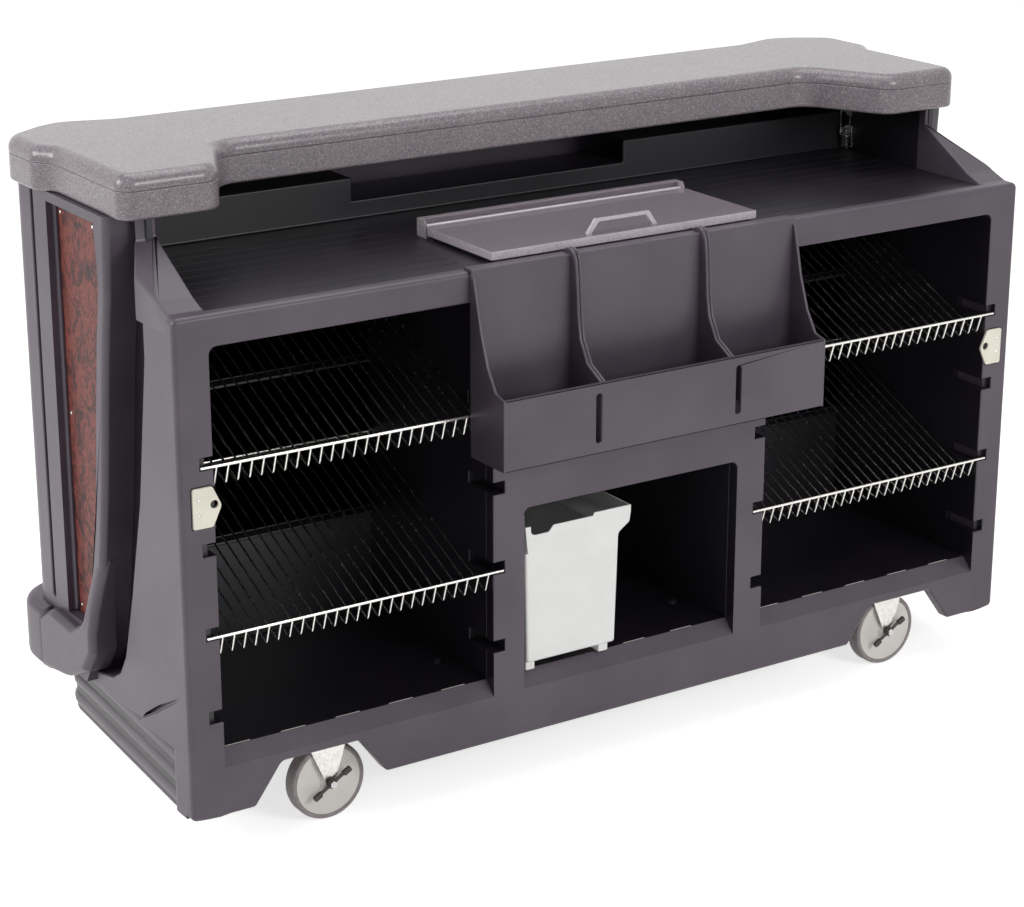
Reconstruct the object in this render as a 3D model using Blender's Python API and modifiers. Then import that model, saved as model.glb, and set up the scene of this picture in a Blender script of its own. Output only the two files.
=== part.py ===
"""Portable bar: a wheeled catering bar with an ice sink, speed rail, can racks and a bin.

Lengths are metres, +Z is up and the operator's side faces -Y. Inside the root empty x is
measured from the middle, y from the operator face towards the guests and z from the floor.
"""

import math

import bmesh
import bpy

GAP = 0.0003  # clearance between pieces that touch

# Cabinet outside
HALF_WIDTH = 0.94
FACE_THICKNESS = 0.025
FACE_TOP = 1.008
SKIRT_BOTTOM = 0.092
EDGE_RADIUS = 0.012
END_PROUD = 0.005
END_HALF_WIDTH = HALF_WIDTH + END_PROUD
GUEST_FACE_Y = 0.655
GUEST_CORNER_RADIUS = 0.06
WALL_TOP = 1.1327

# Base pan and plinth
PAN_TOP = 0.212
PAN_THICKNESS = 0.0165
PLINTH_FRONT_INSET = 0.005
PLINTH_FRONT_HALF = HALF_WIDTH - PLINTH_FRONT_INSET
PLINTH_TAPER = 0.037
PLINTH_REAR_HALF = PLINTH_FRONT_HALF - PLINTH_TAPER
PLINTH_REAR_Y = 0.62
PLINTH_WALL = 0.012
PLINTH_CORNER_RADIUS = 0.06

# Bays
FACE_BORDER = 0.0662
BAY_OUTER_X = HALF_WIDTH - FACE_BORDER
BAY_INNER_X = 0.3136
BAY_TOP = 0.951
CENTRE_BAY_X = 0.2461
CENTRE_BAY_TOP = 0.5435
FOOT_RECESS_XS = ((-0.2414, -0.2082), (-0.0544, -0.0057))
FOOT_RECESS_FRONT_Y = 0.012
FOOT_RECESS_BOTTOM = 0.190
BAY_CORNER_RADIUS = 0.012
SILL_FRONT_Z = 0.185
BAY_BACK_Y = 0.45
BAY_BACK_THICKNESS = 0.01
DIVIDER_WALL = 0.008
DIVIDER_FRONT_SOLID = 0.07

# Rack notches
NOTCH_COUNT = 4
NOTCH_FIRST_Z = 0.2835
NOTCH_PITCH = 0.1552
NOTCH_HEIGHT = 0.023
NOTCH_DEPTH = 0.0252
NOTCH_REACH_Y = 0.06

# Wheel arches
ARCH_INSET = 0.26
ARCH_CENTRE_X = HALF_WIDTH - ARCH_INSET
ARCH_BOTTOM_HALF = 0.135
ARCH_TOP_HALF = 0.08
ARCH_TOP_Z = 0.167

# End walls
LINER_THICKNESS = 0.0105
LINER_REAR_Y = 0.60
CHEEK_PROUD = 0.0078
CHEEK_INNER_X = BAY_OUTER_X - CHEEK_PROUD
CHEEK_REAR_Y = 0.225
SLAB_INSET = 0.005
# Outlines as (y, z): the side wall's rear edge upwards, the cheek's slope, its outer cove and
# the front edge of the guest rib downwards
WALL_REAR_EDGE = (
    (0.282, 0.2415), (0.227, 0.446), (0.176, 0.637), (0.152, 0.783), (0.131, 0.91), (0.131, 0.985),
    (CHEEK_REAR_Y, 1.06),
)
CHEEK_SLOPE = ((0.035, 1.012), (0.201, 1.099))
CHEEK_COVE = ((0.200, 1.070), (0.099, 1.010))
RIB_FRONT_EDGE = (
    (0.240, WALL_TOP), (0.248, 0.996), (0.265, 0.903), (0.282, 0.773), (0.300, 0.624), (0.340, 0.395),
    (0.363, 0.30),
)

# Counter
DECK_TOP = 1.005
DECK_THICKNESS = 0.015
LEDGE_FRONT_Y = 0.47
LEDGE_TOP = 1.085
STEP_TOP = 1.04
LEDGE_SHEET = 0.01
LEFT_LEDGE_END_X = 0.33
RIGHT_LEDGE_END_X = 0.30

# Bar top
TOP_Z = 1.213
TOP_UNDERSIDE = 1.133
TOP_EDGE_RADIUS = 0.024
TOP_SKIN = 0.009
TOP_INNER_Y = 0.354
WING_FRONT_Y = 0.187
WING_INSET = 0.005
WING_HALF_WIDTH = HALF_WIDTH - WING_INSET
LOBE_OVERHANG = 0.022
LOBE_HALF_WIDTH = HALF_WIDTH + LOBE_OVERHANG
NECK_INSETS = (0.294, 0.210)
LOBE_INSETS = (0.077, 0.132, 0.237)
LOBE_START_YS = (0.462, 0.500)
LOBE_SHOULDER_YS = (0.622, 0.672)
LOBE_REAR_Y = 0.692
TOP_GUEST_Y = 0.660
LOCATOR_RADIUS = 0.008
LOCATOR_INSET = 0.11
LOCATOR_X = HALF_WIDTH - LOCATOR_INSET
LOCATOR_YS = (0.30, 0.56)
TOP_HOLLOW_INSET = 0.04
WING_HOLLOW_INSETS = (0.15, 0.045)

# Guest side
GUEST_SHEET = 0.012
PANEL_FRAME_DEPTH = 0.013
PANEL_THICKNESS = 0.004
PANEL_BOTTOM = 0.345
PANEL_TOP = 1.085
PILASTER_WIDTH = 0.08
GUEST_WALL_MARGIN = 0.0843
GUEST_PANEL_WIDTH = 2 * (BAY_OUTER_X + LINER_THICKNESS - GUEST_WALL_MARGIN - PILASTER_WIDTH) / 3
PANEL_CORNER_RADIUS = 0.02
GUEST_FOOT_HEIGHT = 0.10
GUEST_FOOT_THICKENING = 0.02
END_HOLLOW_FRONT_Y = 0.42
END_HOLLOW_REAR_Y = 0.63
END_HOLLOW_ZS = (0.36, 1.10)
END_RECESS = 0.025
END_PANEL_X = END_HALF_WIDTH - END_RECESS
END_PANEL_REAR_Y = 0.487
END_PANEL_BOTTOM = 0.33
END_PANEL_TOP = 1.115
RIB_WIDTH = 0.04
BUMPER_BOTTOM = 0.17
BUMPER_TOP = 0.31
BUMPER_THICKNESS = 0.023
BUMPER_HALF_WIDTH = END_HALF_WIDTH + BUMPER_THICKNESS
BUMPER_CORNER_RADIUS = GUEST_CORNER_RADIUS + BUMPER_THICKNESS
BUMPER_DEPTH = 0.048
GUEST_REACH = GUEST_FACE_Y + BUMPER_DEPTH
BUMPER_END_Y = 0.345

# Ice sink
TUB_HALF_WIDTH = 0.24
TUB_FRONT_Y = 0.042
TUB_REAR_Y = 0.238
TUB_BOTTOM = 0.70
TUB_WALL = 0.004
TUB_CLEARANCE = 0.002
TUB_CORNER_RADIUS = 0.012
TUB_FLANGE_HALF = 0.288
TUB_FLANGE = 0.012
TUB_FLANGE_THICKNESS = 0.0035
DRAIN_RADIUS = 0.0117
DRAIN_BORE = 0.008
DRAIN_LENGTH = 0.07

# Lid
LID_HALF_WIDTH = 0.297
LID_FRONT_Y = 0.030
LID_TOP = 1.028
LID_THICKNESS = 0.004
LID_LIP = 0.0115
LID_HINGE_Y = 0.266
LID_STUB_RADIUS = 0.0024
LID_BARREL_RADIUS = 0.0050
LID_SHOULDER = 0.0155
LID_STUB_INSET = 0.0005
STRIP_FRONT_Y = 0.255
STRIP_REAR_Y = 0.288
STRIP_TOP = 1.040
STRIP_SHEET = 0.004
STRIP_HOOK = 0.013
STRIP_EAR_Y = 0.262
LID_LIP_SHEET = 0.003
HANDLE_YS = (0.048, 0.055)
HANDLE_FOOT_HALF = 0.080
HANDLE_TOP_HALF = 0.060
HANDLE_TOP = 1.055
HANDLE_BAR = 0.007

# Speed rail
RAIL_REACH = 0.11
RAIL_HALF_WIDTH = 0.3625
RAIL_BOTTOM = 0.665
RAIL_FRONT_TOP = 0.798
RAIL_SHEET = 0.006
RAIL_DIVIDER_X = 0.145
RAIL_SLOT_WIDTH = 0.013
RAIL_HOOK_REACH = 0.020
RAIL_SLANT_Y = 0.085
RAIL_DIVIDER_EDGE = ((-0.020, 0.98), (-0.026, 0.84), (-0.060, 0.80), (-0.1075, 0.78))
RAIL_SLOT_MARGIN = 0.020
RAIL_SUPPORT_X = 0.20
RAIL_SUPPORT_ZS = (0.640, 0.650)
RAIL_SUPPORT_WIDTH = 0.045

# Wire racks
ROD_RADIUS = 0.0029
WIRE_RADIUS = 0.0020
WIRE_COUNT = 25
LIP_DROP = 0.039
LIP_LEAN = 0.013
ROD_Y = 0.005
WIRE_MARGIN = 0.0075
REAR_ROD_Y = 0.445
LEDGE_DEPTH = 0.014
LEDGE_THICKNESS = 0.005
LEDGE_ROOT = 0.012
RACK_LEVELS = (("lower", 1), ("upper", 3))

# Lock strike plates
STRIKE_INSET = 0.051
STRIKE_X = HALF_WIDTH - STRIKE_INSET
STRIKE_Z = 0.6725
STRIKE_THICKNESS = 0.005
STRIKE_RECESS = 0.003
STRIKE_HOLE_RADIUS = 0.0075
STRIKE_HOLE_INSET = 0.013
STRIKE_HOLE_X = STRIKE_X - STRIKE_HOLE_INSET
STRIKE_HOLE_Z = 0.676
STRIKE_HALF_HEIGHT = 0.0365
STRIKE_OUTER = 0.028
STRIKE_SHOULDER = 0.010
STRIKE_POINT = 0.027

# Draw latches
LATCH_Y = 0.449
LATCH_WIDTH = 0.024
LATCH_PLATE = 0.002
LATCH_PIVOT_Z = 1.046
LATCH_PIVOT_OUT = 0.0108
LATCH_THROW = 0.012
LATCH_LEVER_LENGTH = 0.038
LATCH_WIRE_RADIUS = 0.0015
LATCH_BAIL_HEIGHT = 0.057
LATCH_BAIL_MARGIN = 0.0025
LATCH_EAR = 0.002
LATCH_EAR_INSET = 0.0015
LATCH_EAR_REACH = 0.006
LATCH_SIDE_CLEARANCE = 0.0003
LATCH_BARREL_RADIUS = 0.0034
LATCH_LEVER_SHEET = 0.002
KEEPER_HALF = 0.009
KEEPER_TONGUE_HALF = 0.006
KEEPER_BELOW = 0.012
KEEPER_ABOVE = 0.018
KEEPER_TONGUE = 0.003

# Waste bin
BIN_LEFT_X = -0.2425
BIN_RIGHT_X = -0.045
BIN_FRONT_Y = 0.003
BIN_REAR_Y = 0.40
BIN_FOOT = 0.020
BIN_TOP = 0.50
BIN_SHEET = 0.003
BIN_TAPER = 0.007
BIN_RIM = 0.012
BIN_RIM_HEIGHT = 0.004
BIN_RIM_LIP = 0.0025
BIN_RUNNERS = ((-0.2335, -0.2125), (-0.079, -0.057))
BIN_SCOOP_XS = (-0.228, -0.190, -0.170)
BIN_SCOOP_DEPTH = 0.014

# Floor drain cups
CUP_TUBE_RADIUS = 0.0180
CUP_BORE_RADIUS = 0.0145
CUP_DEPTH = 0.03
CUP_BASE = 0.003
CUP_OUTLET_RADIUS = 0.004
CUP_Y = 0.145
CUP_XS = (-0.345, 0.21, 0.40)

# Casters
KINGPIN_INSET = 0.015
KINGPIN_X = ARCH_CENTRE_X - KINGPIN_INSET
FRONT_KINGPIN_Y = 0.070
REAR_KINGPIN_Y = 0.47
TRAIL = 0.027
WHEEL_RADIUS = 0.075
WHEEL_WIDTH = 0.033
HUB_WIDTH = 0.038
HUB_RADIUS = 0.015
AXLE_RADIUS = 0.005
CASTER_PLATE = 0.004
CASTER_PLATE_SIZE = (0.100, 0.078)
RACE_RADIUS = 0.028
KINGPIN_RADIUS = 0.006
KINGPIN_HEAD = (0.010, 0.0057)
FORK_TOP = 0.165
FORK_SHEET = 0.003
# The fork leg's edges, as (x from the axle, height), before and behind it
LEG_BACK = (-0.048, FORK_TOP)
LEG_FRONT = (0.0385, FORK_TOP)
LEG_WAIST = ((-0.016, 0.092), (0.018, 0.096))
LEG_TIP = 0.011
CROWN_INSET = 0.0045
BOLT_STUB = 0.004
BRAKE_STUB = 0.011
BOLT_HEAD = (0.0075, 0.003)
NUT = (0.0085, 0.005)
BRAKE_TILT = math.radians(31)
BRAKE_HALF = 0.036
BRAKE_PAD = (0.018, 0.011)
BRAKE_ARM = 0.008
BRAKE_HUB_RADIUS = 0.0095
BRAKE_WIDTH = 0.0085
BRAKE_STANDOFF = 0.002

FACE_Y = (RAIL_REACH - GUEST_REACH) / 2  # puts the middle of the depth on the root frame's origin

COLOURS = {
    "charcoal": ("#5B5058", 0.55, 0.0),
    "granite_top": ("#A79E9E", 0.45, 0.0),
    "burl": ("#7A3B38", 0.30, 0.0),
    "clear": ("#C9CDD2", 0.10, 0.0),
    "bin_white": ("#F4F4F2", 0.50, 0.0),
    "ivory": ("#F3F0E3", 0.45, 0.0),
    "steel": ("#C8C8CA", 0.30, 1.0),
    "zinc": ("#D5D5D2", 0.35, 1.0),
    "tyre": ("#6E686C", 0.70, 0.0),
    "pedal": ("#4A4442", 0.70, 0.0),
}


def clear_scene():
    for obj in list(bpy.data.objects):
        bpy.data.objects.remove(obj, do_unlink=True)


def new_collection(name):
    made = bpy.data.collections.new(name)
    bpy.context.scene.collection.children.link(made)
    return made


def linear(value):
    return value / 12.92 if value <= 0.04045 else ((value + 0.055) / 1.055) ** 2.4


def new_material(name, hex_colour, roughness, metallic):
    made = bpy.data.materials.new(name)
    made.use_nodes = True
    shader = made.node_tree.nodes["Principled BSDF"]
    colour = [linear(int(hex_colour[i : i + 2], 16) / 255) for i in (1, 3, 5)]
    shader.inputs["Base Color"].default_value = (*colour, 1.0)
    shader.inputs["Roughness"].default_value = roughness
    shader.inputs["Metallic"].default_value = metallic
    return made


clear_scene()
PARTS = new_collection("portable_bar")
CUTTERS = new_collection("cutters")
MATERIALS = {name: new_material(name, *look) for name, look in COLOURS.items()}
ROOT = bpy.data.objects.new("bar_origin", None)
ROOT.location = (0, FACE_Y, 0)
PARTS.objects.link(ROOT)


def pivot(name, location, parent=ROOT):
    """An empty on a joint's axis, in its parent's frame."""
    made = bpy.data.objects.new(name, None)
    made.location = location
    made.parent = parent
    PARTS.objects.link(made)
    return made


def mesh_of_curve(curve):
    """The curve's evaluated mesh with its caps welded to its sides."""
    holder = bpy.data.objects.new(curve.name, curve)
    bpy.context.scene.collection.objects.link(holder)
    bpy.context.view_layer.update()
    evaluated = holder.evaluated_get(bpy.context.evaluated_depsgraph_get())
    mesh = bpy.data.meshes.new_from_object(evaluated)
    bpy.data.objects.remove(holder)
    bpy.data.curves.remove(curve)
    work = bmesh.new()
    work.from_mesh(mesh)
    bmesh.ops.remove_doubles(work, verts=work.verts, dist=0.00001)
    bmesh.ops.recalc_face_normals(work, faces=work.faces)
    work.to_mesh(mesh)
    work.free()
    return mesh


def place(mesh, name, location=(0, 0, 0), rotation=(0, 0, 0)):
    made = bpy.data.objects.new(name, mesh)
    made.location = location
    made.rotation_euler = rotation
    made.parent = ROOT
    PARTS.objects.link(made)
    return made


def box(name, xs, ys, zs):
    """A cuboid between the two values of each pair, in any order."""
    work = bmesh.new()
    bmesh.ops.create_cube(work, size=1)
    spans = [abs(pair[1] - pair[0]) for pair in (xs, ys, zs)]
    bmesh.ops.scale(work, vec=spans, verts=work.verts)
    mesh = bpy.data.meshes.new(name)
    work.to_mesh(mesh)
    work.free()
    return place(mesh, name, [(pair[0] + pair[1]) / 2 for pair in (xs, ys, zs)])


TURNS = {
    "X": (math.pi / 2, 0, math.pi / 2),
    "Y": (math.pi / 2, 0, 0),
    "Z": (0, 0, 0),
}


def plate(name, axis, span, *loops):
    """Flat outlines extruded along one axis: YZ outlines for X, XZ for Y and XY for Z."""
    curve = bpy.data.curves.new(name, "CURVE")
    curve.dimensions = "2D"
    curve.fill_mode = "BOTH"
    curve.extrude = abs(span[1] - span[0]) / 2
    for loop in loops:
        spline = curve.splines.new("POLY")
        spline.points.add(len(loop) - 1)
        for point, (u, v) in zip(spline.points, loop):
            point.co = (u, v, 0, 1)
        spline.use_cyclic_u = True
    location = [0, 0, 0]
    location["XYZ".index(axis)] = (span[0] + span[1]) / 2
    return place(mesh_of_curve(curve), name, location, TURNS[axis])


def rod(name, paths, radius, resolution=2, cyclic=False):
    """One mesh of round wires along the given paths."""
    curve = bpy.data.curves.new(name, "CURVE")
    curve.dimensions = "3D"
    curve.bevel_depth = radius
    curve.bevel_resolution = resolution
    curve.use_fill_caps = True
    for path in paths:
        spline = curve.splines.new("POLY")
        spline.points.add(len(path) - 1)
        for point, place_of in zip(spline.points, path):
            point.co = (*place_of, 1)
        spline.use_cyclic_u = cyclic
    return place(mesh_of_curve(curve), name)


def turned(name, profile, steps=24):
    """A closed (radius, height) profile turned about local Z; at +X it runs from top to bottom."""
    mesh = bpy.data.meshes.new(name)
    work = bmesh.new()
    verts = [work.verts.new((radius, 0, height)) for radius, height in profile]
    for first, second in zip(verts, verts[1:] + verts[:1]):
        work.edges.new((first, second))
    work.to_mesh(mesh)
    work.free()
    made = place(mesh, name)
    screw = made.modifiers.new("turn", "SCREW")
    screw.steps = steps
    screw.render_steps = steps
    screw.use_merge_vertices = True
    screw.merge_threshold = 0.0001
    return made


def boolean(target, tool, operation):
    """Joins or cuts with a hidden helper."""
    PARTS.objects.unlink(tool)
    CUTTERS.objects.link(tool)
    tool.hide_render = True
    tool.display_type = "WIRE"
    modifier = target.modifiers.new(operation.lower(), "BOOLEAN")
    modifier.operation = operation
    modifier.object = tool
    return target


def cut(target, *tools):
    for tool in tools:
        boolean(target, tool, "DIFFERENCE")
    return target


def join(target, *tools):
    for tool in tools:
        boolean(target, tool, "UNION")
    return target


def round_edges(target, width, segments=2, angle=30):
    modifier = target.modifiers.new("round", "BEVEL")
    modifier.width = width
    modifier.segments = segments
    modifier.limit_method = "ANGLE"
    modifier.angle_limit = math.radians(angle)
    return target


def hang(obj, parent, offset):
    """Hangs a piece and its hidden helpers, unmoved, from an empty at this offset."""
    obj.location = [a - b for a, b in zip(obj.location, offset)]
    obj.parent = parent
    for modifier in obj.modifiers:
        if modifier.type == "BOOLEAN":
            hang(modifier.object, parent, offset)


def finish(obj, material, parent=None):
    """Gives the piece its material and hangs it from its joint's empty."""
    obj.data.materials.append(MATERIALS[material])
    obj.data.shade_smooth()
    obj.data.set_sharp_from_angle(angle=math.radians(35))
    if parent is not None:
        offset = [0, 0, 0]
        holder = parent
        while holder is not ROOT:
            offset = [a + b for a, b in zip(offset, holder.location)]
            holder = holder.parent
        hang(obj, parent, offset)
    return obj


def fillet(corners, segments=4):
    """A closed outline from (x, y, radius) corners, each turned into an arc."""
    points = []
    count = len(corners)
    for index, (x, y, radius) in enumerate(corners):
        if radius == 0:
            points.append((x, y))
            continue
        sides = []
        for other in (corners[index - 1], corners[(index + 1) % count]):
            dx, dy = other[0] - x, other[1] - y
            length = math.hypot(dx, dy)
            sides.append((dx / length, dy / length))
        (ax, ay), (bx, by) = sides
        half = math.acos(max(-1, min(1, ax * bx + ay * by))) / 2
        reach = radius / math.tan(half)
        out = radius / math.sin(half)
        mx, my = ax + bx, ay + by
        size = math.hypot(mx, my)
        cx, cy = x + mx / size * out, y + my / size * out
        start = math.atan2(y + ay * reach - cy, x + ax * reach - cx)
        end = math.atan2(y + by * reach - cy, x + bx * reach - cx)
        turn = (end - start + math.pi) % (2 * math.pi) - math.pi
        for step in range(segments + 1):
            angle = start + turn * step / segments
            points.append((cx + radius * math.cos(angle), cy + radius * math.sin(angle)))
    return points


def rounded_box(x0, x1, y0, y1, radius, segments=4):
    return fillet([(x0, y0, radius), (x1, y0, radius), (x1, y1, radius), (x0, y1, radius)], segments)


def circle(x, y, radius, sides=16):
    turns = [2 * math.pi * (i + 0.5) / sides for i in range(sides)]
    return [(x + radius * math.cos(a), y + radius * math.sin(a)) for a in turns]


def notch_levels():
    return [NOTCH_FIRST_Z + index * NOTCH_PITCH for index in range(NOTCH_COUNT)]


def side_name(side):
    return "left" if side < 0 else "right"


def rod_height(level):
    """Centre height of a rod that rests on the bottom of the notch at this level."""
    return NOTCH_FIRST_Z + level * NOTCH_PITCH - NOTCH_HEIGHT / 2 + ROD_RADIUS + GAP


def bay_loop(near, far):
    """A side bay's opening with its notches, from the inner to the outer x."""
    out = 1 if far > near else -1
    half = NOTCH_HEIGHT / 2
    loop = [(near, PAN_TOP - 0.01), (far, PAN_TOP - 0.01)]
    for z in notch_levels():
        deep = far + out * NOTCH_DEPTH
        loop += [(far, z - half), (deep, z - half), (deep, z + half), (far, z + half)]
    corner = fillet(
        [(far, BAY_TOP - 0.1, 0), (far, BAY_TOP, BAY_CORNER_RADIUS),
         (near, BAY_TOP, BAY_CORNER_RADIUS), (near, BAY_TOP - 0.1, 0)]
    )
    loop += corner[1:-1]
    for z in reversed(notch_levels()):
        deep = near - out * NOTCH_DEPTH
        loop += [(near, z + half), (deep, z + half), (deep, z - half), (near, z - half)]
    return loop


def strike_outline(side, growth=0.0):
    """The strike plate's pentagon, its point towards the bay."""
    half_height = STRIKE_HALF_HEIGHT + growth
    outer = STRIKE_OUTER + growth
    shoulder = STRIKE_SHOULDER + growth
    point = STRIKE_POINT + growth
    corners = [
        (STRIKE_X + outer, STRIKE_Z + half_height, 0.004),
        (STRIKE_X + outer, STRIKE_Z - half_height, 0.004),
        (STRIKE_X - shoulder, STRIKE_Z - half_height, 0.006),
        (STRIKE_X - point, STRIKE_Z, 0.010),
        (STRIKE_X - shoulder, STRIKE_Z + half_height, 0.006),
    ]
    return fillet([(side * x, z, radius) for x, z, radius in corners], 3)


def bay_spans():
    return (
        (-BAY_OUTER_X, -BAY_INNER_X),
        (-CENTRE_BAY_X, CENTRE_BAY_X),
        (BAY_INNER_X, BAY_OUTER_X),
    )


def operator_face():
    """The frame round the three bays, above the bays' floor."""
    low = PAN_TOP + GAP
    outline = fillet(
        [(-HALF_WIDTH, low, 0), (HALF_WIDTH, low, 0), (HALF_WIDTH, FACE_TOP, EDGE_RADIUS),
         (-HALF_WIDTH, FACE_TOP, EDGE_RADIUS)], 3
    )
    past = 0.001
    centre = fillet(
        [(-CENTRE_BAY_X, low - past, 0), (CENTRE_BAY_X, low - past, 0),
         (CENTRE_BAY_X, CENTRE_BAY_TOP, BAY_CORNER_RADIUS),
         (-CENTRE_BAY_X, CENTRE_BAY_TOP, BAY_CORNER_RADIUS)]
    )
    face = plate("operator_face", "Y", (0, FACE_THICKNESS), outline)
    through = (-past, FACE_THICKNESS + past)
    cut(face, plate("centre_bay_opening", "Y", through, centre))
    for side in (-1, 1):
        loop = bay_loop(side * BAY_INNER_X, side * BAY_OUTER_X)
        cut(face, plate("side_bay_opening", "Y", through, loop))
    for side in (-1, 1):
        cut(face, plate("strike_recess", "Y", (-past, STRIKE_RECESS), strike_outline(side, 2 * GAP)))
        low, high = (side * RAIL_SUPPORT_X + end * RAIL_SUPPORT_WIDTH / 2 for end in (-1, 1))
        slot = rounded_box(low, high, *RAIL_SUPPORT_ZS, 0.0045, 3)
        cut(face, plate("rail_slot", "Y", through, slot))
    return finish(face, "charcoal")


def front_skirt():
    """The face below the bays' floor, with its sloped sills and wheel arches."""
    arch = [
        (ARCH_CENTRE_X - ARCH_BOTTOM_HALF, SKIRT_BOTTOM, 0.01),
        (ARCH_CENTRE_X - ARCH_TOP_HALF, ARCH_TOP_Z, 0.015),
        (ARCH_CENTRE_X + ARCH_TOP_HALF, ARCH_TOP_Z, 0.015),
        (ARCH_CENTRE_X + ARCH_BOTTOM_HALF, SKIRT_BOTTOM, 0.01),
    ]
    left_arch = [(-x, z, radius) for x, z, radius in reversed(arch)]
    outline = fillet(
        [(-HALF_WIDTH, SKIRT_BOTTOM, EDGE_RADIUS), *left_arch, *arch,
         (HALF_WIDTH, SKIRT_BOTTOM, EDGE_RADIUS), (HALF_WIDTH, PAN_TOP, 0), (-HALF_WIDTH, PAN_TOP, 0)], 3
    )
    skirt = plate("front_skirt", "Y", (0, FACE_THICKNESS), outline)
    rise = (PAN_TOP - SILL_FRONT_Z) / FACE_THICKNESS
    past = 0.001
    wedge = [
        (-past, SILL_FRONT_Z - past * rise),
        (FACE_THICKNESS + past, PAN_TOP + past * rise),
        (-past, PAN_TOP + past * rise),
    ]
    for low, high in bay_spans():
        cut(skirt, plate("sill_chamfer", "X", (low - past, high + past), wedge))
    for xs in FOOT_RECESS_XS:
        ys = (FOOT_RECESS_FRONT_Y, FACE_THICKNESS + past)
        cut(skirt, box("foot_recess", xs, ys, (FOOT_RECESS_BOTTOM, PAN_TOP + past)))
    return finish(skirt, "charcoal")


def base_pan():
    def outline(inset, front_y):
        return fillet(
            [(-PLINTH_FRONT_HALF + inset, front_y, 0), (PLINTH_FRONT_HALF - inset, front_y, 0),
             (PLINTH_REAR_HALF - inset, PLINTH_REAR_Y - inset, PLINTH_CORNER_RADIUS - inset),
             (-PLINTH_REAR_HALF + inset, PLINTH_REAR_Y - inset, PLINTH_CORNER_RADIUS - inset)], 5
        )

    front = FACE_THICKNESS + GAP
    pan = plate("base_pan", "Z", (SKIRT_BOTTOM, PAN_TOP), outline(0, front))
    span = (SKIRT_BOTTOM - 0.01, PAN_TOP - PAN_THICKNESS)
    cut(pan, plate("pan_hollow", "Z", span, outline(PLINTH_WALL, front - 0.01)))
    low = PAN_TOP - CUP_DEPTH
    for x in CUP_XS:
        join(pan, plate("drain_cup", "Z", (low, PAN_TOP - 0.001), circle(x, CUP_Y, CUP_TUBE_RADIUS)))
    for x in CUP_XS:
        cut(pan, plate("cup_bore", "Z", (low + CUP_BASE, PAN_TOP + 0.01), circle(x, CUP_Y, CUP_BORE_RADIUS)))
        outlet = circle(x, CUP_Y, CUP_OUTLET_RADIUS, 8)
        cut(pan, plate("cup_outlet", "Z", (low - 0.01, low + CUP_BASE + 0.01), outlet))
    return finish(pan, "charcoal")


def end_wall(side):
    front = FACE_THICKNESS + GAP
    floor = PAN_TOP + GAP
    liner = [
        (front, floor), (LINER_REAR_Y, floor), (LINER_REAR_Y, WALL_TOP), (CHEEK_SLOPE[1][0], WALL_TOP),
        CHEEK_SLOPE[1], CHEEK_SLOPE[0], (front, FACE_TOP),
    ]
    name = f"end_wall_{side_name(side)}"
    wall = plate(name, "X", (side * BAY_OUTER_X, side * (BAY_OUTER_X + LINER_THICKNESS)), liner)
    slab = [
        (front, WALL_REAR_EDGE[0][1]), *WALL_REAR_EDGE, (CHEEK_REAR_Y, WALL_TOP),
        (CHEEK_COVE[0][0], WALL_TOP), *CHEEK_COVE, (front, FACE_TOP),
    ]
    inside = side * (BAY_OUTER_X + SLAB_INSET)
    join(wall, plate("side_slab", "X", (inside, side * HALF_WIDTH), slab))
    cheek = [
        (CHEEK_SLOPE[0][0], DECK_TOP + GAP), (CHEEK_REAR_Y, DECK_TOP + GAP), (CHEEK_REAR_Y, WALL_TOP),
        (CHEEK_SLOPE[1][0], WALL_TOP), CHEEK_SLOPE[1], CHEEK_SLOPE[0],
    ]
    join(wall, plate("cheek", "X", (side * CHEEK_INNER_X, inside), cheek))
    for z in notch_levels():
        xs = (side * (BAY_OUTER_X - 0.01), side * (BAY_OUTER_X + NOTCH_DEPTH))
        ys = (front - 0.01, front + NOTCH_REACH_Y)
        cut(wall, box("wall_notch", xs, ys, (z - NOTCH_HEIGHT / 2, z + NOTCH_HEIGHT / 2)))
    return finish(wall, "charcoal")


def bay_divider(side):
    front, back = FACE_THICKNESS + GAP, BAY_BACK_Y - GAP
    top = DECK_TOP - DECK_THICKNESS - GAP
    name = f"bay_divider_{side_name(side)}"
    body = box(name, (side * CENTRE_BAY_X, side * BAY_INNER_X), (front, back), (PAN_TOP + GAP, top))
    wall = DIVIDER_WALL
    cut(body, box("divider_hollow", (side * (CENTRE_BAY_X + wall), side * (BAY_INNER_X - wall)),
                  (front + DIVIDER_FRONT_SOLID, back - wall), (PAN_TOP + wall, top + 0.01)))
    for z in notch_levels():
        xs = (side * (BAY_INNER_X - NOTCH_DEPTH), side * (BAY_INNER_X + 0.01))
        ys = (front - 0.01, front + NOTCH_REACH_Y)
        cut(body, box("divider_notch", xs, ys, (z - NOTCH_HEIGHT / 2, z + NOTCH_HEIGHT / 2)))
    return finish(body, "charcoal")


def rear_rod_height(level):
    return rod_height(level) + NOTCH_PITCH


def tray_slope():
    """Rise of a tray's floor per metre of depth, from the lip's foot to the rear rod."""
    return (NOTCH_PITCH + LIP_DROP) / (REAR_ROD_Y - ROD_Y - LIP_LEAN)


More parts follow.
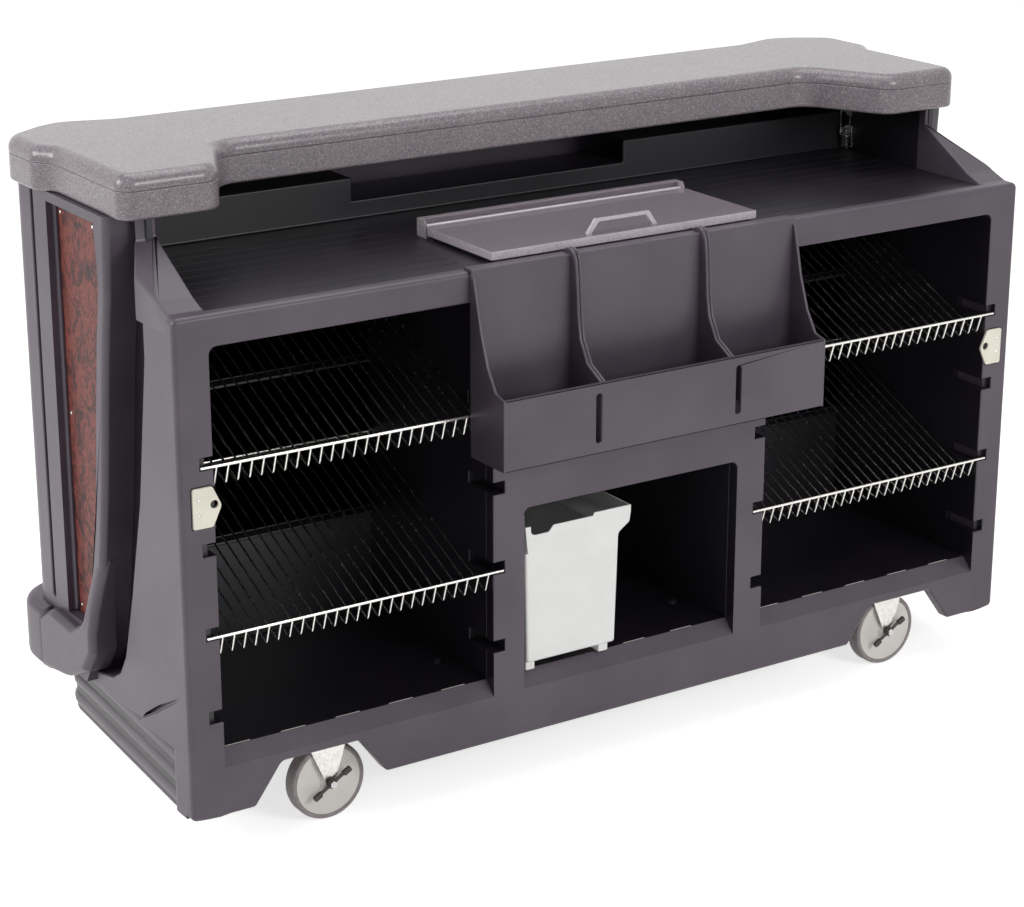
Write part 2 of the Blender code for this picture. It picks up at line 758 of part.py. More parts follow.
def bay_back_wall():
    half = BAY_OUTER_X - GAP
    wall = box("bay_back_wall", (-half, half), (BAY_BACK_Y, BAY_BACK_Y + BAY_BACK_THICKNESS),
               (PAN_TOP + GAP, DECK_TOP - DECK_THICKNESS - GAP))
    slope = tray_slope()
    drop = (ROD_RADIUS + GAP) * math.hypot(1, slope)
    back = BAY_BACK_Y + BAY_BACK_THICKNESS / 3
    front = BAY_BACK_Y - LEDGE_DEPTH
    for level in range(NOTCH_COUNT):
        rest = rear_rod_height(level) - drop
        ledge = [
            (front, rest + (front - REAR_ROD_Y) * slope),
            (front, rest + (front - REAR_ROD_Y) * slope - LEDGE_THICKNESS),
            (back, rest - LEDGE_ROOT),
            (back, rest + (back - REAR_ROD_Y) * slope),
        ]
        for side in (-1, 1):
            xs = (side * (BAY_INNER_X + 0.001), side * (BAY_OUTER_X - 0.001))
            join(wall, plate("rack_ledge", "X", xs, ledge))
    return finish(wall, "charcoal")


def counter_deck():
    low, front = DECK_TOP - DECK_THICKNESS, FACE_THICKNESS + GAP
    half = BAY_OUTER_X - GAP

    def section(top):
        return [
            (front, low), (front, DECK_TOP), (LEDGE_FRONT_Y, DECK_TOP), (LEDGE_FRONT_Y, top),
            (LINER_REAR_Y, top), (LINER_REAR_Y, top - LEDGE_SHEET),
            (LEDGE_FRONT_Y + LEDGE_SHEET, top - LEDGE_SHEET), (LEDGE_FRONT_Y + LEDGE_SHEET, low),
        ]

    deck = plate("counter_deck", "X", (-half, -LEFT_LEDGE_END_X), section(LEDGE_TOP))
    join(deck, plate("deck_right", "X", (RIGHT_LEDGE_END_X, half), section(LEDGE_TOP)))
    centre_span = (-LEFT_LEDGE_END_X - 0.004, RIGHT_LEDGE_END_X + 0.004)
    join(deck, plate("deck_centre", "X", centre_span, section(STEP_TOP)))
    room = TUB_CLEARANCE
    wide = TUB_HALF_WIDTH + room
    opening = rounded_box(-wide, wide, TUB_FRONT_Y - room, TUB_REAR_Y + room, TUB_CORNER_RADIUS, 3)
    cut(deck, plate("sink_opening", "Z", (low - 0.01, DECK_TOP + 0.01), opening))
    return finish(deck, "charcoal")


def top_outline():
    """The bar top's plan: straight inner edge, S-curves to the wings and a lobe at each end."""
    neck = [LOBE_HALF_WIDTH - inset for inset in NECK_INSETS]
    lobe = [LOBE_HALF_WIDTH - inset for inset in LOBE_INSETS]
    half = [
        (neck[0], TOP_INNER_Y, 0.06), (neck[1], WING_FRONT_Y, 0.045),
        (WING_HALF_WIDTH, WING_FRONT_Y, 0.03), (WING_HALF_WIDTH, LOBE_START_YS[0], 0.045),
        (LOBE_HALF_WIDTH, LOBE_START_YS[1], 0.035), (LOBE_HALF_WIDTH, LOBE_SHOULDER_YS[0], 0.06),
        (lobe[0], LOBE_SHOULDER_YS[1], 0.07), (lobe[1], LOBE_REAR_Y, 0.09),
        (lobe[2], TOP_GUEST_Y, 0.12),
    ]
    return fillet([*half, *((-x, y, radius) for x, y, radius in reversed(half))], 3)


def bar_top():
    top = plate("bar_top", "Z", (TOP_UNDERSIDE, TOP_Z), top_outline())
    round_edges(top, TOP_EDGE_RADIUS, 2, 50)
    zs = (TOP_UNDERSIDE + TOP_SKIN, TOP_Z - TOP_SKIN)
    edge = TOP_EDGE_RADIUS
    ys = (TOP_INNER_Y + edge, TOP_GUEST_Y - edge)
    hollow_half = HALF_WIDTH - TOP_HOLLOW_INSET
    hollow = box("top_hollow", (-hollow_half, hollow_half), ys, zs)
    for side in (-1, 1):
        xs = [side * (HALF_WIDTH - inset) for inset in WING_HOLLOW_INSETS]
        join(hollow, box("wing_hollow", xs, (WING_FRONT_Y + edge, LOCATOR_YS[1] + 0.04), zs))
    cut(top, hollow)
    span = (TOP_UNDERSIDE - 0.01, TOP_UNDERSIDE + TOP_SKIN + 0.005)
    for side in (-1, 1):
        for y in LOCATOR_YS:
            cut(top, plate("locator_hole", "Z", span, circle(side * LOCATOR_X, y, LOCATOR_RADIUS, 12)))
    return finish(top, "granite_top")


def panel_centres():
    pitch = GUEST_PANEL_WIDTH + PILASTER_WIDTH
    return (-pitch, 0.0, pitch)


def guest_wall():
    half = BAY_OUTER_X + LINER_THICKNESS - GAP
    sheet_y = GUEST_FACE_Y - PANEL_FRAME_DEPTH - GUEST_SHEET
    floor = PAN_TOP + GAP
    below = floor + GUEST_FOOT_HEIGHT
    sheet = (sheet_y, sheet_y + GUEST_SHEET)
    wall = box("guest_wall", (-half, half), sheet, (below, WALL_TOP))
    foot = (sheet_y - GUEST_FOOT_THICKENING, sheet[1])
    join(wall, box("guest_wall_foot", (-half, half), foot, (floor, below + 0.01)))
    wide = GUEST_PANEL_WIDTH / 2
    openings = [
        rounded_box(x - wide, x + wide, PANEL_BOTTOM, PANEL_TOP, PANEL_CORNER_RADIUS)
        for x in panel_centres()
    ]
    frame = [(-half, below), (half, below), (half, WALL_TOP), (-half, WALL_TOP)]
    join(wall, plate("panel_frame", "Y", (sheet[1] - 0.002, GUEST_FACE_Y), frame, *openings))
    return finish(wall, "charcoal")


def guest_panel(name, x):
    back = GUEST_FACE_Y - PANEL_FRAME_DEPTH + GAP
    half = GUEST_PANEL_WIDTH / 2 - GAP
    loop = rounded_box(x - half, x + half, PANEL_BOTTOM + GAP, PANEL_TOP - GAP, PANEL_CORNER_RADIUS - GAP)
    return finish(plate(name, "Y", (back, back + PANEL_THICKNESS), loop), "burl")


def rib_front_y(z):
    """Y of the guest rib's slanted front edge at this height."""
    for (y0, z0), (y1, z1) in zip(RIB_FRONT_EDGE, RIB_FRONT_EDGE[1:]):
        if z1 <= z <= z0:
            return y0 + (y1 - y0) * (z0 - z) / (z0 - z1)
    return RIB_FRONT_EDGE[-1][0]


def end_panel_outline(inset=0.0):
    low, high = END_PANEL_BOTTOM + inset, END_PANEL_TOP - inset
    heights = [low, *(z for _, z in reversed(RIB_FRONT_EDGE) if low < z < high), high]
    front = [(rib_front_y(z) + RIB_WIDTH + inset, z) for z in heights]
    rear = END_PANEL_REAR_Y - inset
    return [*front, (rear, high), (rear, low)]


def guest_end(side):
    inner = BAY_OUTER_X + LINER_THICKNESS + GAP
    floor = PAN_TOP + GAP
    rear = GUEST_FACE_Y
    outline = [*RIB_FRONT_EDGE, (RIB_FRONT_EDGE[-1][0], floor), (rear, floor), (rear, WALL_TOP)]
    name = f"guest_end_{side_name(side)}"
    end = plate(name, "X", (side * inner, side * END_HALF_WIDTH), outline)
    corner_x = side * END_HALF_WIDTH
    keep = fillet(
        [(side * (inner - 0.01), 0.2, 0), (corner_x, 0.2, 0), (corner_x, rear, GUEST_CORNER_RADIUS),
         (side * (inner - 0.01), rear, 0)], 5
    )
    boolean(end, plate("corner_round", "Z", (floor - 0.01, WALL_TOP + 0.01), keep), "INTERSECT")
    recess = (side * END_PANEL_X, side * (END_HALF_WIDTH + 0.01))
    cut(end, plate("panel_recess", "X", recess, end_panel_outline()))
    hollow = (side * (inner - 0.01), side * (END_PANEL_X - GUEST_SHEET))
    cut(end, box("end_hollow", hollow, (END_HOLLOW_FRONT_Y, END_HOLLOW_REAR_Y), END_HOLLOW_ZS))
    return finish(end, "charcoal")


def end_panel(side):
    span = (side * (END_PANEL_X + GAP), side * (END_PANEL_X + GAP + PANEL_THICKNESS))
    return finish(plate(f"burl_end_panel_{side_name(side)}", "X", span, end_panel_outline(GAP)), "burl")


def foot_bumper():
    inner_x, inner_y = END_HALF_WIDTH + GAP, GUEST_FACE_Y + GAP
    outer_radius = BUMPER_CORNER_RADIUS
    inner_radius = GUEST_CORNER_RADIUS + GAP
    loop = fillet(
        [(-BUMPER_HALF_WIDTH, BUMPER_END_Y, 0.009), (-BUMPER_HALF_WIDTH, GUEST_REACH, outer_radius),
         (BUMPER_HALF_WIDTH, GUEST_REACH, outer_radius), (BUMPER_HALF_WIDTH, BUMPER_END_Y, 0.009),
         (inner_x, BUMPER_END_Y, 0), (inner_x, inner_y, inner_radius),
         (-inner_x, inner_y, inner_radius), (-inner_x, BUMPER_END_Y, 0)], 5
    )
    bumper = plate("foot_bumper", "Z", (BUMPER_BOTTOM, BUMPER_TOP), loop)
    return finish(bumper, "charcoal")


def ice_sink_tub():
    flange_low = DECK_TOP + GAP
    flange_top = flange_low + TUB_FLANGE_THICKNESS
    half = TUB_HALF_WIDTH
    outer = rounded_box(-half, half, TUB_FRONT_Y, TUB_REAR_Y, TUB_CORNER_RADIUS, 3)
    tub = plate("ice_sink_tub", "Z", (TUB_BOTTOM, flange_low + 0.001), outer)
    wide = TUB_FLANGE_HALF
    flange = rounded_box(-wide, wide, TUB_FRONT_Y - TUB_FLANGE, TUB_REAR_Y + TUB_FLANGE, 0.006, 2)
    join(tub, plate("tub_flange", "Z", (flange_low, flange_top), flange))
    wall = TUB_WALL
    inside = half - wall
    radius = TUB_CORNER_RADIUS - wall
    inner = rounded_box(-inside, inside, TUB_FRONT_Y + wall, TUB_REAR_Y - wall, radius, 3)
    cut(tub, plate("tub_hollow", "Z", (TUB_BOTTOM + wall, flange_top + 0.01), inner))
    drain_y = (TUB_FRONT_Y + TUB_REAR_Y) / 2
    low = TUB_BOTTOM - DRAIN_LENGTH
    join(tub, plate("tub_drain", "Z", (low, TUB_BOTTOM + wall / 2), circle(0, drain_y, DRAIN_RADIUS)))
    bore = circle(0, drain_y, DRAIN_BORE)
    cut(tub, plate("tub_drain_bore", "Z", (low - 0.01, TUB_BOTTOM + wall + 0.01), bore))
    return finish(tub, "charcoal")


def lid_hinge_z():
    return LID_TOP - LID_THICKNESS / 2


def rear_strip():
    half = LID_HALF_WIDTH
    low = DECK_TOP + GAP
    sheet = STRIP_SHEET
    hook = STRIP_REAR_Y - STRIP_HOOK
    section = [
        (STRIP_FRONT_Y, low), (STRIP_REAR_Y, low), (STRIP_REAR_Y, STRIP_TOP), (hook, STRIP_TOP),
        (hook, STRIP_TOP - sheet), (STRIP_REAR_Y - sheet, STRIP_TOP - sheet),
        (STRIP_REAR_Y - sheet, low + sheet), (STRIP_FRONT_Y, low + sheet),
    ]
    strip = plate("rear_strip", "X", (-half, half), section)
    ear_section = [
        (STRIP_FRONT_Y, low), (STRIP_REAR_Y, low), (STRIP_REAR_Y, STRIP_TOP), (STRIP_EAR_Y, STRIP_TOP),
        (STRIP_FRONT_Y, LID_TOP),
    ]
    stub_hole = circle(LID_HINGE_Y, lid_hinge_z(), LID_STUB_RADIUS + GAP)
    for side in (-1, 1):
        join(strip, plate("strip_ear", "X", (side * (half - sheet), side * half), ear_section))
    cut(strip, plate("strip_stub_hole", "X", (-half - 0.01, half + 0.01), stub_hole))
    return finish(strip, "clear")


def lid_inner_half():
    """Half width of the lid where it runs between the strip's ears."""
    return LID_HALF_WIDTH - STRIP_SHEET - 0.0005


def ice_lid(hinge):
    z_low = LID_TOP - LID_THICKNESS
    inner = lid_inner_half()
    back = LID_HINGE_Y
    front_back = LID_HINGE_Y - LID_SHOULDER
    outline = [(-LID_HALF_WIDTH, LID_FRONT_Y), (LID_HALF_WIDTH, LID_FRONT_Y), (LID_HALF_WIDTH, front_back),
               (inner, front_back), (inner, back), (-inner, back), (-inner, front_back),
               (-LID_HALF_WIDTH, front_back)]
    lid = plate("ice_lid", "Z", (z_low, LID_TOP), outline)
    lip_low = z_low - LID_LIP
    sheet = LID_LIP_SHEET
    join(lid, box("lid_front_lip", (-LID_HALF_WIDTH, LID_HALF_WIDTH), (LID_FRONT_Y, LID_FRONT_Y + sheet),
                  (lip_low, z_low + 0.001)))
    for side in (-1, 1):
        xs = (side * (LID_HALF_WIDTH - sheet), side * LID_HALF_WIDTH)
        join(lid, box("lid_side_lip", xs, (LID_FRONT_Y + 0.001, front_back), (lip_low, z_low + 0.001)))
    barrel = circle(LID_HINGE_Y, lid_hinge_z(), LID_BARREL_RADIUS)
    join(lid, plate("lid_barrel", "X", (-inner, inner), barrel))
    stub_reach = LID_HALF_WIDTH - LID_STUB_INSET
    stub = circle(LID_HINGE_Y, lid_hinge_z(), LID_STUB_RADIUS)
    join(lid, plate("lid_stub", "X", (-stub_reach, stub_reach), stub))
    foot = LID_TOP - 0.001
    outer = [(-HANDLE_FOOT_HALF, foot), (HANDLE_FOOT_HALF, foot), (HANDLE_TOP_HALF, HANDLE_TOP),
             (-HANDLE_TOP_HALF, HANDLE_TOP)]
    bar = HANDLE_BAR
    finger = [(-HANDLE_FOOT_HALF + 1.6 * bar, LID_TOP), (HANDLE_FOOT_HALF - 1.6 * bar, LID_TOP),
              (HANDLE_TOP_HALF - bar, HANDLE_TOP - bar), (-HANDLE_TOP_HALF + bar, HANDLE_TOP - bar)]
    handle = plate("lid_handle", "Y", HANDLE_YS, outer)
    cut(handle, plate("finger_gap", "Y", (HANDLE_YS[0] - 0.01, HANDLE_YS[1] + 0.01), finger))
    join(lid, handle)
    return finish(lid, "clear", hinge)


def speed_rail(lift):
    sheet = RAIL_SHEET
    back = -GAP
    top = FACE_TOP + GAP
    half = RAIL_HALF_WIDTH
    inset = 0.0005
    low, front = RAIL_BOTTOM + inset, -RAIL_REACH + inset
    hook_top = top + sheet * 0.7
    section = [
        (back, low), (back, top), (RAIL_HOOK_REACH, top), (RAIL_HOOK_REACH, hook_top),
        (back - sheet, hook_top), (back - sheet, low + sheet), (front + sheet, low + sheet),
        (front + sheet, RAIL_FRONT_TOP), (front, RAIL_FRONT_TOP), (front, low),
    ]
    rail = plate("speed_rail", "X", (-half + inset, half - inset), section)
    end = [
        (back - inset, top - 0.001), (-0.012, top - 0.012), (-RAIL_SLANT_Y, RAIL_FRONT_TOP + 0.005),
        (-RAIL_REACH, RAIL_FRONT_TOP - inset), (-RAIL_REACH, RAIL_BOTTOM), (back - inset, RAIL_BOTTOM),
    ]
    divider = [
        (back - 0.001, top - 0.002), *RAIL_DIVIDER_EDGE, (RAIL_DIVIDER_EDGE[-1][0], low + 0.001),
        (back - 0.001, low + 0.001),
    ]
    for side in (-1, 1):
        join(rail, plate("rail_end", "X", (side * (half - sheet), side * half), end))
        xs = (side * (RAIL_DIVIDER_X - sheet / 2), side * (RAIL_DIVIDER_X + sheet / 2))
        join(rail, plate("rail_divider", "X", xs, divider))
    for side in (-1, 1):
        x = side * (RAIL_DIVIDER_X + sheet + RAIL_SLOT_WIDTH / 2)
        low_z, high_z = RAIL_BOTTOM + RAIL_SLOT_MARGIN, RAIL_FRONT_TOP - RAIL_SLOT_MARGIN
        slot = rounded_box(x - RAIL_SLOT_WIDTH / 2, x + RAIL_SLOT_WIDTH / 2, low_z, high_z, 0.006, 3)
        cut(rail, plate("rail_front_slot", "Y", (-RAIL_REACH - 0.01, -RAIL_REACH + sheet + 0.01), slot))
    return finish(rail, "charcoal", lift)


def rack_wire_xs(side):
    first = BAY_INNER_X + WIRE_MARGIN
    pitch = (BAY_OUTER_X - BAY_INNER_X - 2 * WIRE_MARGIN) / (WIRE_COUNT - 1)
    return [side * (first + index * pitch) for index in range(WIRE_COUNT)]


def rack_lip(side, name, level, slide):
    """The front rod, which lies in the notches, and the wires' short run down to their bends."""
    rod_z = rod_height(level)
    outer = side * (BAY_OUTER_X + NOTCH_DEPTH - 0.002)
    inner = side * (BAY_INNER_X - NOTCH_DEPTH + 0.002)
    lip = rod(f"rack_lip_{name}_{side_name(side)}", [[(outer, ROD_Y, rod_z), (inner, ROD_Y, rod_z)]],
              ROD_RADIUS, 0)
    wires = [
        [(x, ROD_Y, rod_z), (x, ROD_Y + LIP_LEAN, rod_z - LIP_DROP)] for x in rack_wire_xs(side)
    ]
    join(lip, rod("lip_wires", wires, WIRE_RADIUS, 0))
    return finish(lip, "zinc", slide)


def rack_tray(side, name, level, slide):
    """The wires' long run from their bends up to the rear rod, which lies on a ledge."""
    foot_z = rod_height(level) - LIP_DROP
    rear_z = rear_rod_height(level)
    ends = (side * (BAY_OUTER_X - 0.002), side * (BAY_INNER_X + 0.002))
    tray = rod(f"rack_tray_{name}_{side_name(side)}", [[(x, REAR_ROD_Y, rear_z) for x in ends]], ROD_RADIUS, 0)
    slope = math.atan(tray_slope())
    bend = slope + math.atan2(LIP_DROP, LIP_LEAN)
    start = (WIRE_RADIUS * (1 + abs(math.cos(bend))) + GAP) / math.sin(bend)
    near_y, near_z = ROD_Y + LIP_LEAN + start * math.cos(slope), foot_z + start * math.sin(slope)
    wires = [[(x, near_y, near_z), (x, REAR_ROD_Y, rear_z)] for x in rack_wire_xs(side)]
    join(tray, rod("tray_wires", wires, WIRE_RADIUS, 0))
    return finish(tray, "zinc", slide)


def strike_plate(side):
    hole = circle(side * STRIKE_HOLE_X, STRIKE_HOLE_Z, STRIKE_HOLE_RADIUS)
    span = (STRIKE_RECESS - GAP - STRIKE_THICKNESS, STRIKE_RECESS - GAP)
    made = plate(f"lock_strike_{side_name(side)}", "Y", span, strike_outline(side), hole)
    return finish(made, "ivory")


def latch_x(side, out):
    """X at a distance inward from the end wall's inner surface."""
    return side * (BAY_OUTER_X - GAP - out)


def latch_base(side):
    half = LATCH_WIDTH / 2
    name = f"latch_base_{side_name(side)}"
    xs = (latch_x(side, 0), latch_x(side, LATCH_PLATE))
    zs = (DECK_TOP + 0.005, LATCH_PIVOT_Z + 0.010)
    base = box(name, xs, (LATCH_Y - half, LATCH_Y + half), zs)
    reach = LATCH_EAR_REACH
    for edge in (-1, 1):
        far = half - LATCH_EAR_INSET
        ys = (LATCH_Y + edge * (far - LATCH_EAR), LATCH_Y + edge * far)
        xs = (latch_x(side, LATCH_PLATE - 0.0005), latch_x(side, LATCH_PIVOT_OUT + reach))
        join(base, box("latch_ear", xs, ys, (LATCH_PIVOT_Z - reach, LATCH_PIVOT_Z + reach)))
    pin_half = half - LATCH_EAR_INSET - 0.0005
    pin = circle(latch_x(side, LATCH_PIVOT_OUT), LATCH_PIVOT_Z, LATCH_WIRE_RADIUS, 12)
    join(base, plate("latch_pin", "Y", (LATCH_Y - pin_half, LATCH_Y + pin_half), pin))
    return finish(base, "steel")


def latch_lever(side, hinge):
    half = LATCH_WIDTH / 2 - LATCH_EAR_INSET - LATCH_EAR - LATCH_SIDE_CLEARANCE
    span = (LATCH_Y - half, LATCH_Y + half)
    x = latch_x(side, LATCH_PIVOT_OUT)
    low = LATCH_PIVOT_Z - LATCH_LEVER_LENGTH
    xs = (x - LATCH_LEVER_SHEET / 2, x + LATCH_LEVER_SHEET / 2)
    lever = box(f"latch_lever_{side_name(side)}", xs, span, (low, LATCH_PIVOT_Z))
    bail_z = LATCH_PIVOT_Z - LATCH_THROW
    for z in (LATCH_PIVOT_Z, bail_z):
        join(lever, plate("lever_barrel", "Y", span, circle(x, z, LATCH_BARREL_RADIUS, 12)))
    for z in (LATCH_PIVOT_Z, bail_z):
        reach = (span[0] - 0.01, span[1] + 0.01)
        cut(lever, plate("lever_bore", "Y", reach, circle(x, z, LATCH_WIRE_RADIUS + GAP, 12)))
    return finish(lever, "steel", hinge)


def latch_bail(side, hinge):
    x = latch_x(side, LATCH_PIVOT_OUT)
    low = LATCH_PIVOT_Z - LATCH_THROW
    high = low + LATCH_BAIL_HEIGHT
    reach = LATCH_WIDTH / 2 + LATCH_BAIL_MARGIN
    corners = fillet([(LATCH_Y - reach, low, 0.002), (LATCH_Y + reach, low, 0.002),
                      (LATCH_Y + reach, high, 0.004), (LATCH_Y - reach, high, 0.004)], 2)
    loop = [(x, y, z) for y, z in corners]
    bail = rod(f"latch_bail_{side_name(side)}", [loop], LATCH_WIRE_RADIUS, 1, cyclic=True)
    return finish(bail, "steel", hinge)


def latch_keeper(side):
    shelf_top = LATCH_PIVOT_Z - LATCH_THROW + LATCH_BAIL_HEIGHT - LATCH_WIRE_RADIUS - GAP
    xs = (latch_x(side, 0), latch_x(side, LATCH_PLATE))
    ys = (LATCH_Y - KEEPER_HALF, LATCH_Y + KEEPER_HALF)
    zs = (shelf_top - KEEPER_BELOW, shelf_top + KEEPER_ABOVE)
    keeper = box(f"latch_keeper_{side_name(side)}", xs, ys, zs)
    xs = (latch_x(side, LATCH_PLATE - 0.0005), latch_x(side, LATCH_PIVOT_OUT + LATCH_EAR_REACH))
    ys = (LATCH_Y - KEEPER_TONGUE_HALF, LATCH_Y + KEEPER_TONGUE_HALF)
    join(keeper, box("keeper_tongue", xs, ys, (shelf_top - KEEPER_TONGUE, shelf_top)))
    return finish(keeper, "steel")


def waste_bin(slide):
    floor = PAN_TOP + GAP
    body_low = floor + BIN_FOOT
    work = bmesh.new()
    bmesh.ops.create_cube(work, size=1)
    spans = (BIN_RIGHT_X - BIN_LEFT_X, BIN_REAR_Y - BIN_FRONT_Y, BIN_TOP - body_low)
    bmesh.ops.scale(work, vec=spans, verts=work.verts)
    for vert in work.verts:
        if vert.co.z < 0:
            vert.co.x -= math.copysign(BIN_TAPER, vert.co.x)
            vert.co.y -= math.copysign(BIN_TAPER, vert.co.y)
    lid_faces = [face for face in work.faces if face.normal.z > 0.5]
    bmesh.ops.delete(work, geom=lid_faces, context="FACES")
    mesh = bpy.data.meshes.new("waste_bin")
    work.to_mesh(mesh)
    work.free()
    middle = ((BIN_LEFT_X + BIN_RIGHT_X) / 2, (BIN_FRONT_Y + BIN_REAR_Y) / 2, (body_low + BIN_TOP) / 2)
    bin_body = place(mesh, "waste_bin", middle)
    shell = bin_body.modifiers.new("wall", "SOLIDIFY")
    shell.thickness = BIN_SHEET
    shell.offset = -1
    shell.use_even_offset = True
    over = 0.0005
    rim_ys = (BIN_FRONT_Y - over, BIN_REAR_Y + over)
    rim_zs = (BIN_TOP - BIN_RIM_HEIGHT, BIN_TOP + over)
    rim = box("bin_rim", (BIN_LEFT_X, BIN_RIGHT_X + BIN_RIM), rim_ys, rim_zs)
    lip = BIN_RIM_LIP
    cut(rim, box("rim_hollow", (BIN_LEFT_X + lip, BIN_RIGHT_X - lip),
                 (BIN_FRONT_Y + lip, BIN_REAR_Y - lip), (BIN_TOP - 0.02, BIN_TOP + 0.02)))
    join(bin_body, rim)
    runner_ys = (BIN_FRONT_Y + 0.012, BIN_REAR_Y - BIN_FOOT)
    for xs in BIN_RUNNERS:
        join(bin_body, box("bin_runner", xs, runner_ys, (floor, body_low + 0.002)))
    left, foot, right = BIN_SCOOP_XS
    low = BIN_TOP - BIN_SCOOP_DEPTH
    scoop = fillet(
        [(left, BIN_TOP + 0.02, 0), (left, low, 0.008), (foot, low, 0.012), (right, BIN_TOP + 0.02, 0)], 3
    )
    cut(bin_body, plate("bin_scoop", "Y", (BIN_FRONT_Y - 0.01, BIN_FRONT_Y + 0.012), scoop))
    return finish(bin_body, "bin_white", slide)


def caster_top():
    return PAN_TOP - PAN_THICKNESS - GAP


def caster_plate(name, x, y):
    top = caster_top()
    low = top - CASTER_PLATE
    half_x, half_y = CASTER_PLATE_SIZE[0] / 2, CASTER_PLATE_SIZE[1] / 2
    mount = box(f"{name}_plate", (x - half_x, x + half_x), (y - half_y, y + half_y), (low, top))
    race_low = FORK_TOP + GAP
    head_top = FORK_TOP - FORK_SHEET * 2 - GAP
    head, height = KINGPIN_HEAD
    profile = [
        (0, low + 0.001), (RACE_RADIUS, low + 0.001), (RACE_RADIUS, race_low), (KINGPIN_RADIUS, race_low),
        (KINGPIN_RADIUS, head_top), (head, head_top), (head, head_top - height), (0, head_top - height),
    ]
    race = turned("kingpin", profile, 16)
    race.location = (x, y, 0)
    join(mount, race)
    return finish(mount, "zinc")


def axle_height():
    return WHEEL_RADIUS


def leg_outline(x):
    """A fork leg's triangle, narrowing from the crown to the axle."""
    (back_x, back_z), (front_x, front_z) = LEG_WAIST
    tip = axle_height() - LEG_TIP
    corners = [
        (*LEG_BACK, 0), (*LEG_FRONT, 0), (front_x, front_z, 0.02), (0.007, tip, 0.006),
        (-0.007, tip, 0.006), (back_x, back_z, 0.02),
    ]
    return fillet([(x + TRAIL + u, z, radius) for u, z, radius in corners], 2)


def leg_inner_y():
    return HUB_WIDTH / 2 + GAP


def caster_fork(name, x, y, swivel):
    inner, outer = leg_inner_y(), leg_inner_y() + FORK_SHEET
    crown_low = FORK_TOP - 2 * FORK_SHEET
    axle = x + TRAIL
    xs = (axle + LEG_BACK[0] + CROWN_INSET, axle + LEG_FRONT[0] - CROWN_INSET)
    ys = (y - outer + 0.001, y + outer - 0.001)
    fork = box(f"{name}_fork", xs, ys, (crown_low, FORK_TOP - 0.0005))
    for side in (-1, 1):
        join(fork, plate("fork_leg", "Y", (y + side * inner, y + side * outer), leg_outline(x)))
    kingpin_hole = circle(x, y, KINGPIN_RADIUS + GAP, 16)
    cut(fork, plate("kingpin_hole", "Z", (crown_low - 0.01, FORK_TOP + 0.01), kingpin_hole))
    axle_hole = circle(axle, axle_height(), AXLE_RADIUS + GAP, 12)
    cut(fork, plate("axle_hole", "Y", (y - outer - 0.01, y + outer + 0.01), axle_hole))
    return finish(fork, "zinc", swivel)


def caster_wheel(name, x, y, spin):
    half, hub = WHEEL_WIDTH / 2, HUB_WIDTH / 2
    rim = WHEEL_RADIUS - 0.011
    crown = 0.005
    bore = AXLE_RADIUS + 0.0004
    profile = [
        (bore, hub), (HUB_RADIUS, hub), (HUB_RADIUS + 0.003, half - 0.004), (rim - 0.004, half - 0.004),
        (rim, half), (WHEEL_RADIUS - crown, half), (WHEEL_RADIUS, half - crown),
        (WHEEL_RADIUS, -half + crown), (WHEEL_RADIUS - crown, -half), (rim, -half),
        (rim - 0.004, -half + 0.004), (HUB_RADIUS + 0.003, -half + 0.004), (HUB_RADIUS, -hub), (bore, -hub),
    ]
    wheel = turned(f"{name}_wheel", profile, 24)
    wheel.rotation_euler = (math.pi / 2, 0, 0)
    wheel.location = (x + TRAIL, y, axle_height())
    return finish(wheel, "tyre", spin)


def caster_axle(name, x, y, swivel, brake_side):
    """A bolt through both legs; on a braked caster it is longer and carries the rocker."""
    outer = leg_inner_y() + FORK_SHEET
    stub = BRAKE_STUB if brake_side else BOLT_STUB
    centre = (x + TRAIL, axle_height())
    near, far = y - outer - stub, y + outer + GAP
    axle = plate(f"{name}_axle", "Y", (near, far + 0.001), circle(*centre, AXLE_RADIUS, 12))
    nut, nut_height = NUT
    join(axle, plate("axle_nut", "Y", (far, far + nut_height), circle(*centre, nut, 6)))
    head, head_height = BOLT_HEAD
    join(axle, plate("axle_head", "Y", (near - head_height, near + 0.0005), circle(*centre, head, 6)))
    return finish(axle, "steel", swivel)


def brake_rocker(name, x, y, tip):
    """A double-ended pedal on the axle, one pad up and one pad down."""
    outer = leg_inner_y() + FORK_SHEET
    near = y - outer - BRAKE_STANDOFF
    far = near - BRAKE_WIDTH
    half = BRAKE_HALF
    pad, pad_height = BRAKE_PAD[0] / 2, BRAKE_PAD[1] / 2
    centre = (x + TRAIL, axle_height())
    arm = rounded_box(-half, half, -BRAKE_ARM / 2, BRAKE_ARM / 2, 0.002, 2)
    cos, sin = math.cos(BRAKE_TILT), math.sin(BRAKE_TILT)

    def turn(points):
        return [(centre[0] + u * cos - w * sin, centre[1] + u * sin + w * cos) for u, w in points]

    rocker = plate(f"{name}_brake", "Y", (near - 0.002, near - 0.005), turn(arm))
    join(rocker, plate("rocker_hub", "Y", (near, far + 0.0005), circle(*centre, BRAKE_HUB_RADIUS, 12)))
    for end in (-1, 1):
        pads = rounded_box(end * half - pad, end * half + pad, -pad_height, pad_height, 0.003, 2)
        join(rocker, plate("rocker_pad", "Y", (near - 0.001, far), turn(pads)))
    cut(rocker, plate("rocker_bore", "Y", (near + 0.01, far - 0.01), circle(*centre, AXLE_RADIUS + GAP, 12)))
    return finish(rocker, "pedal", tip)


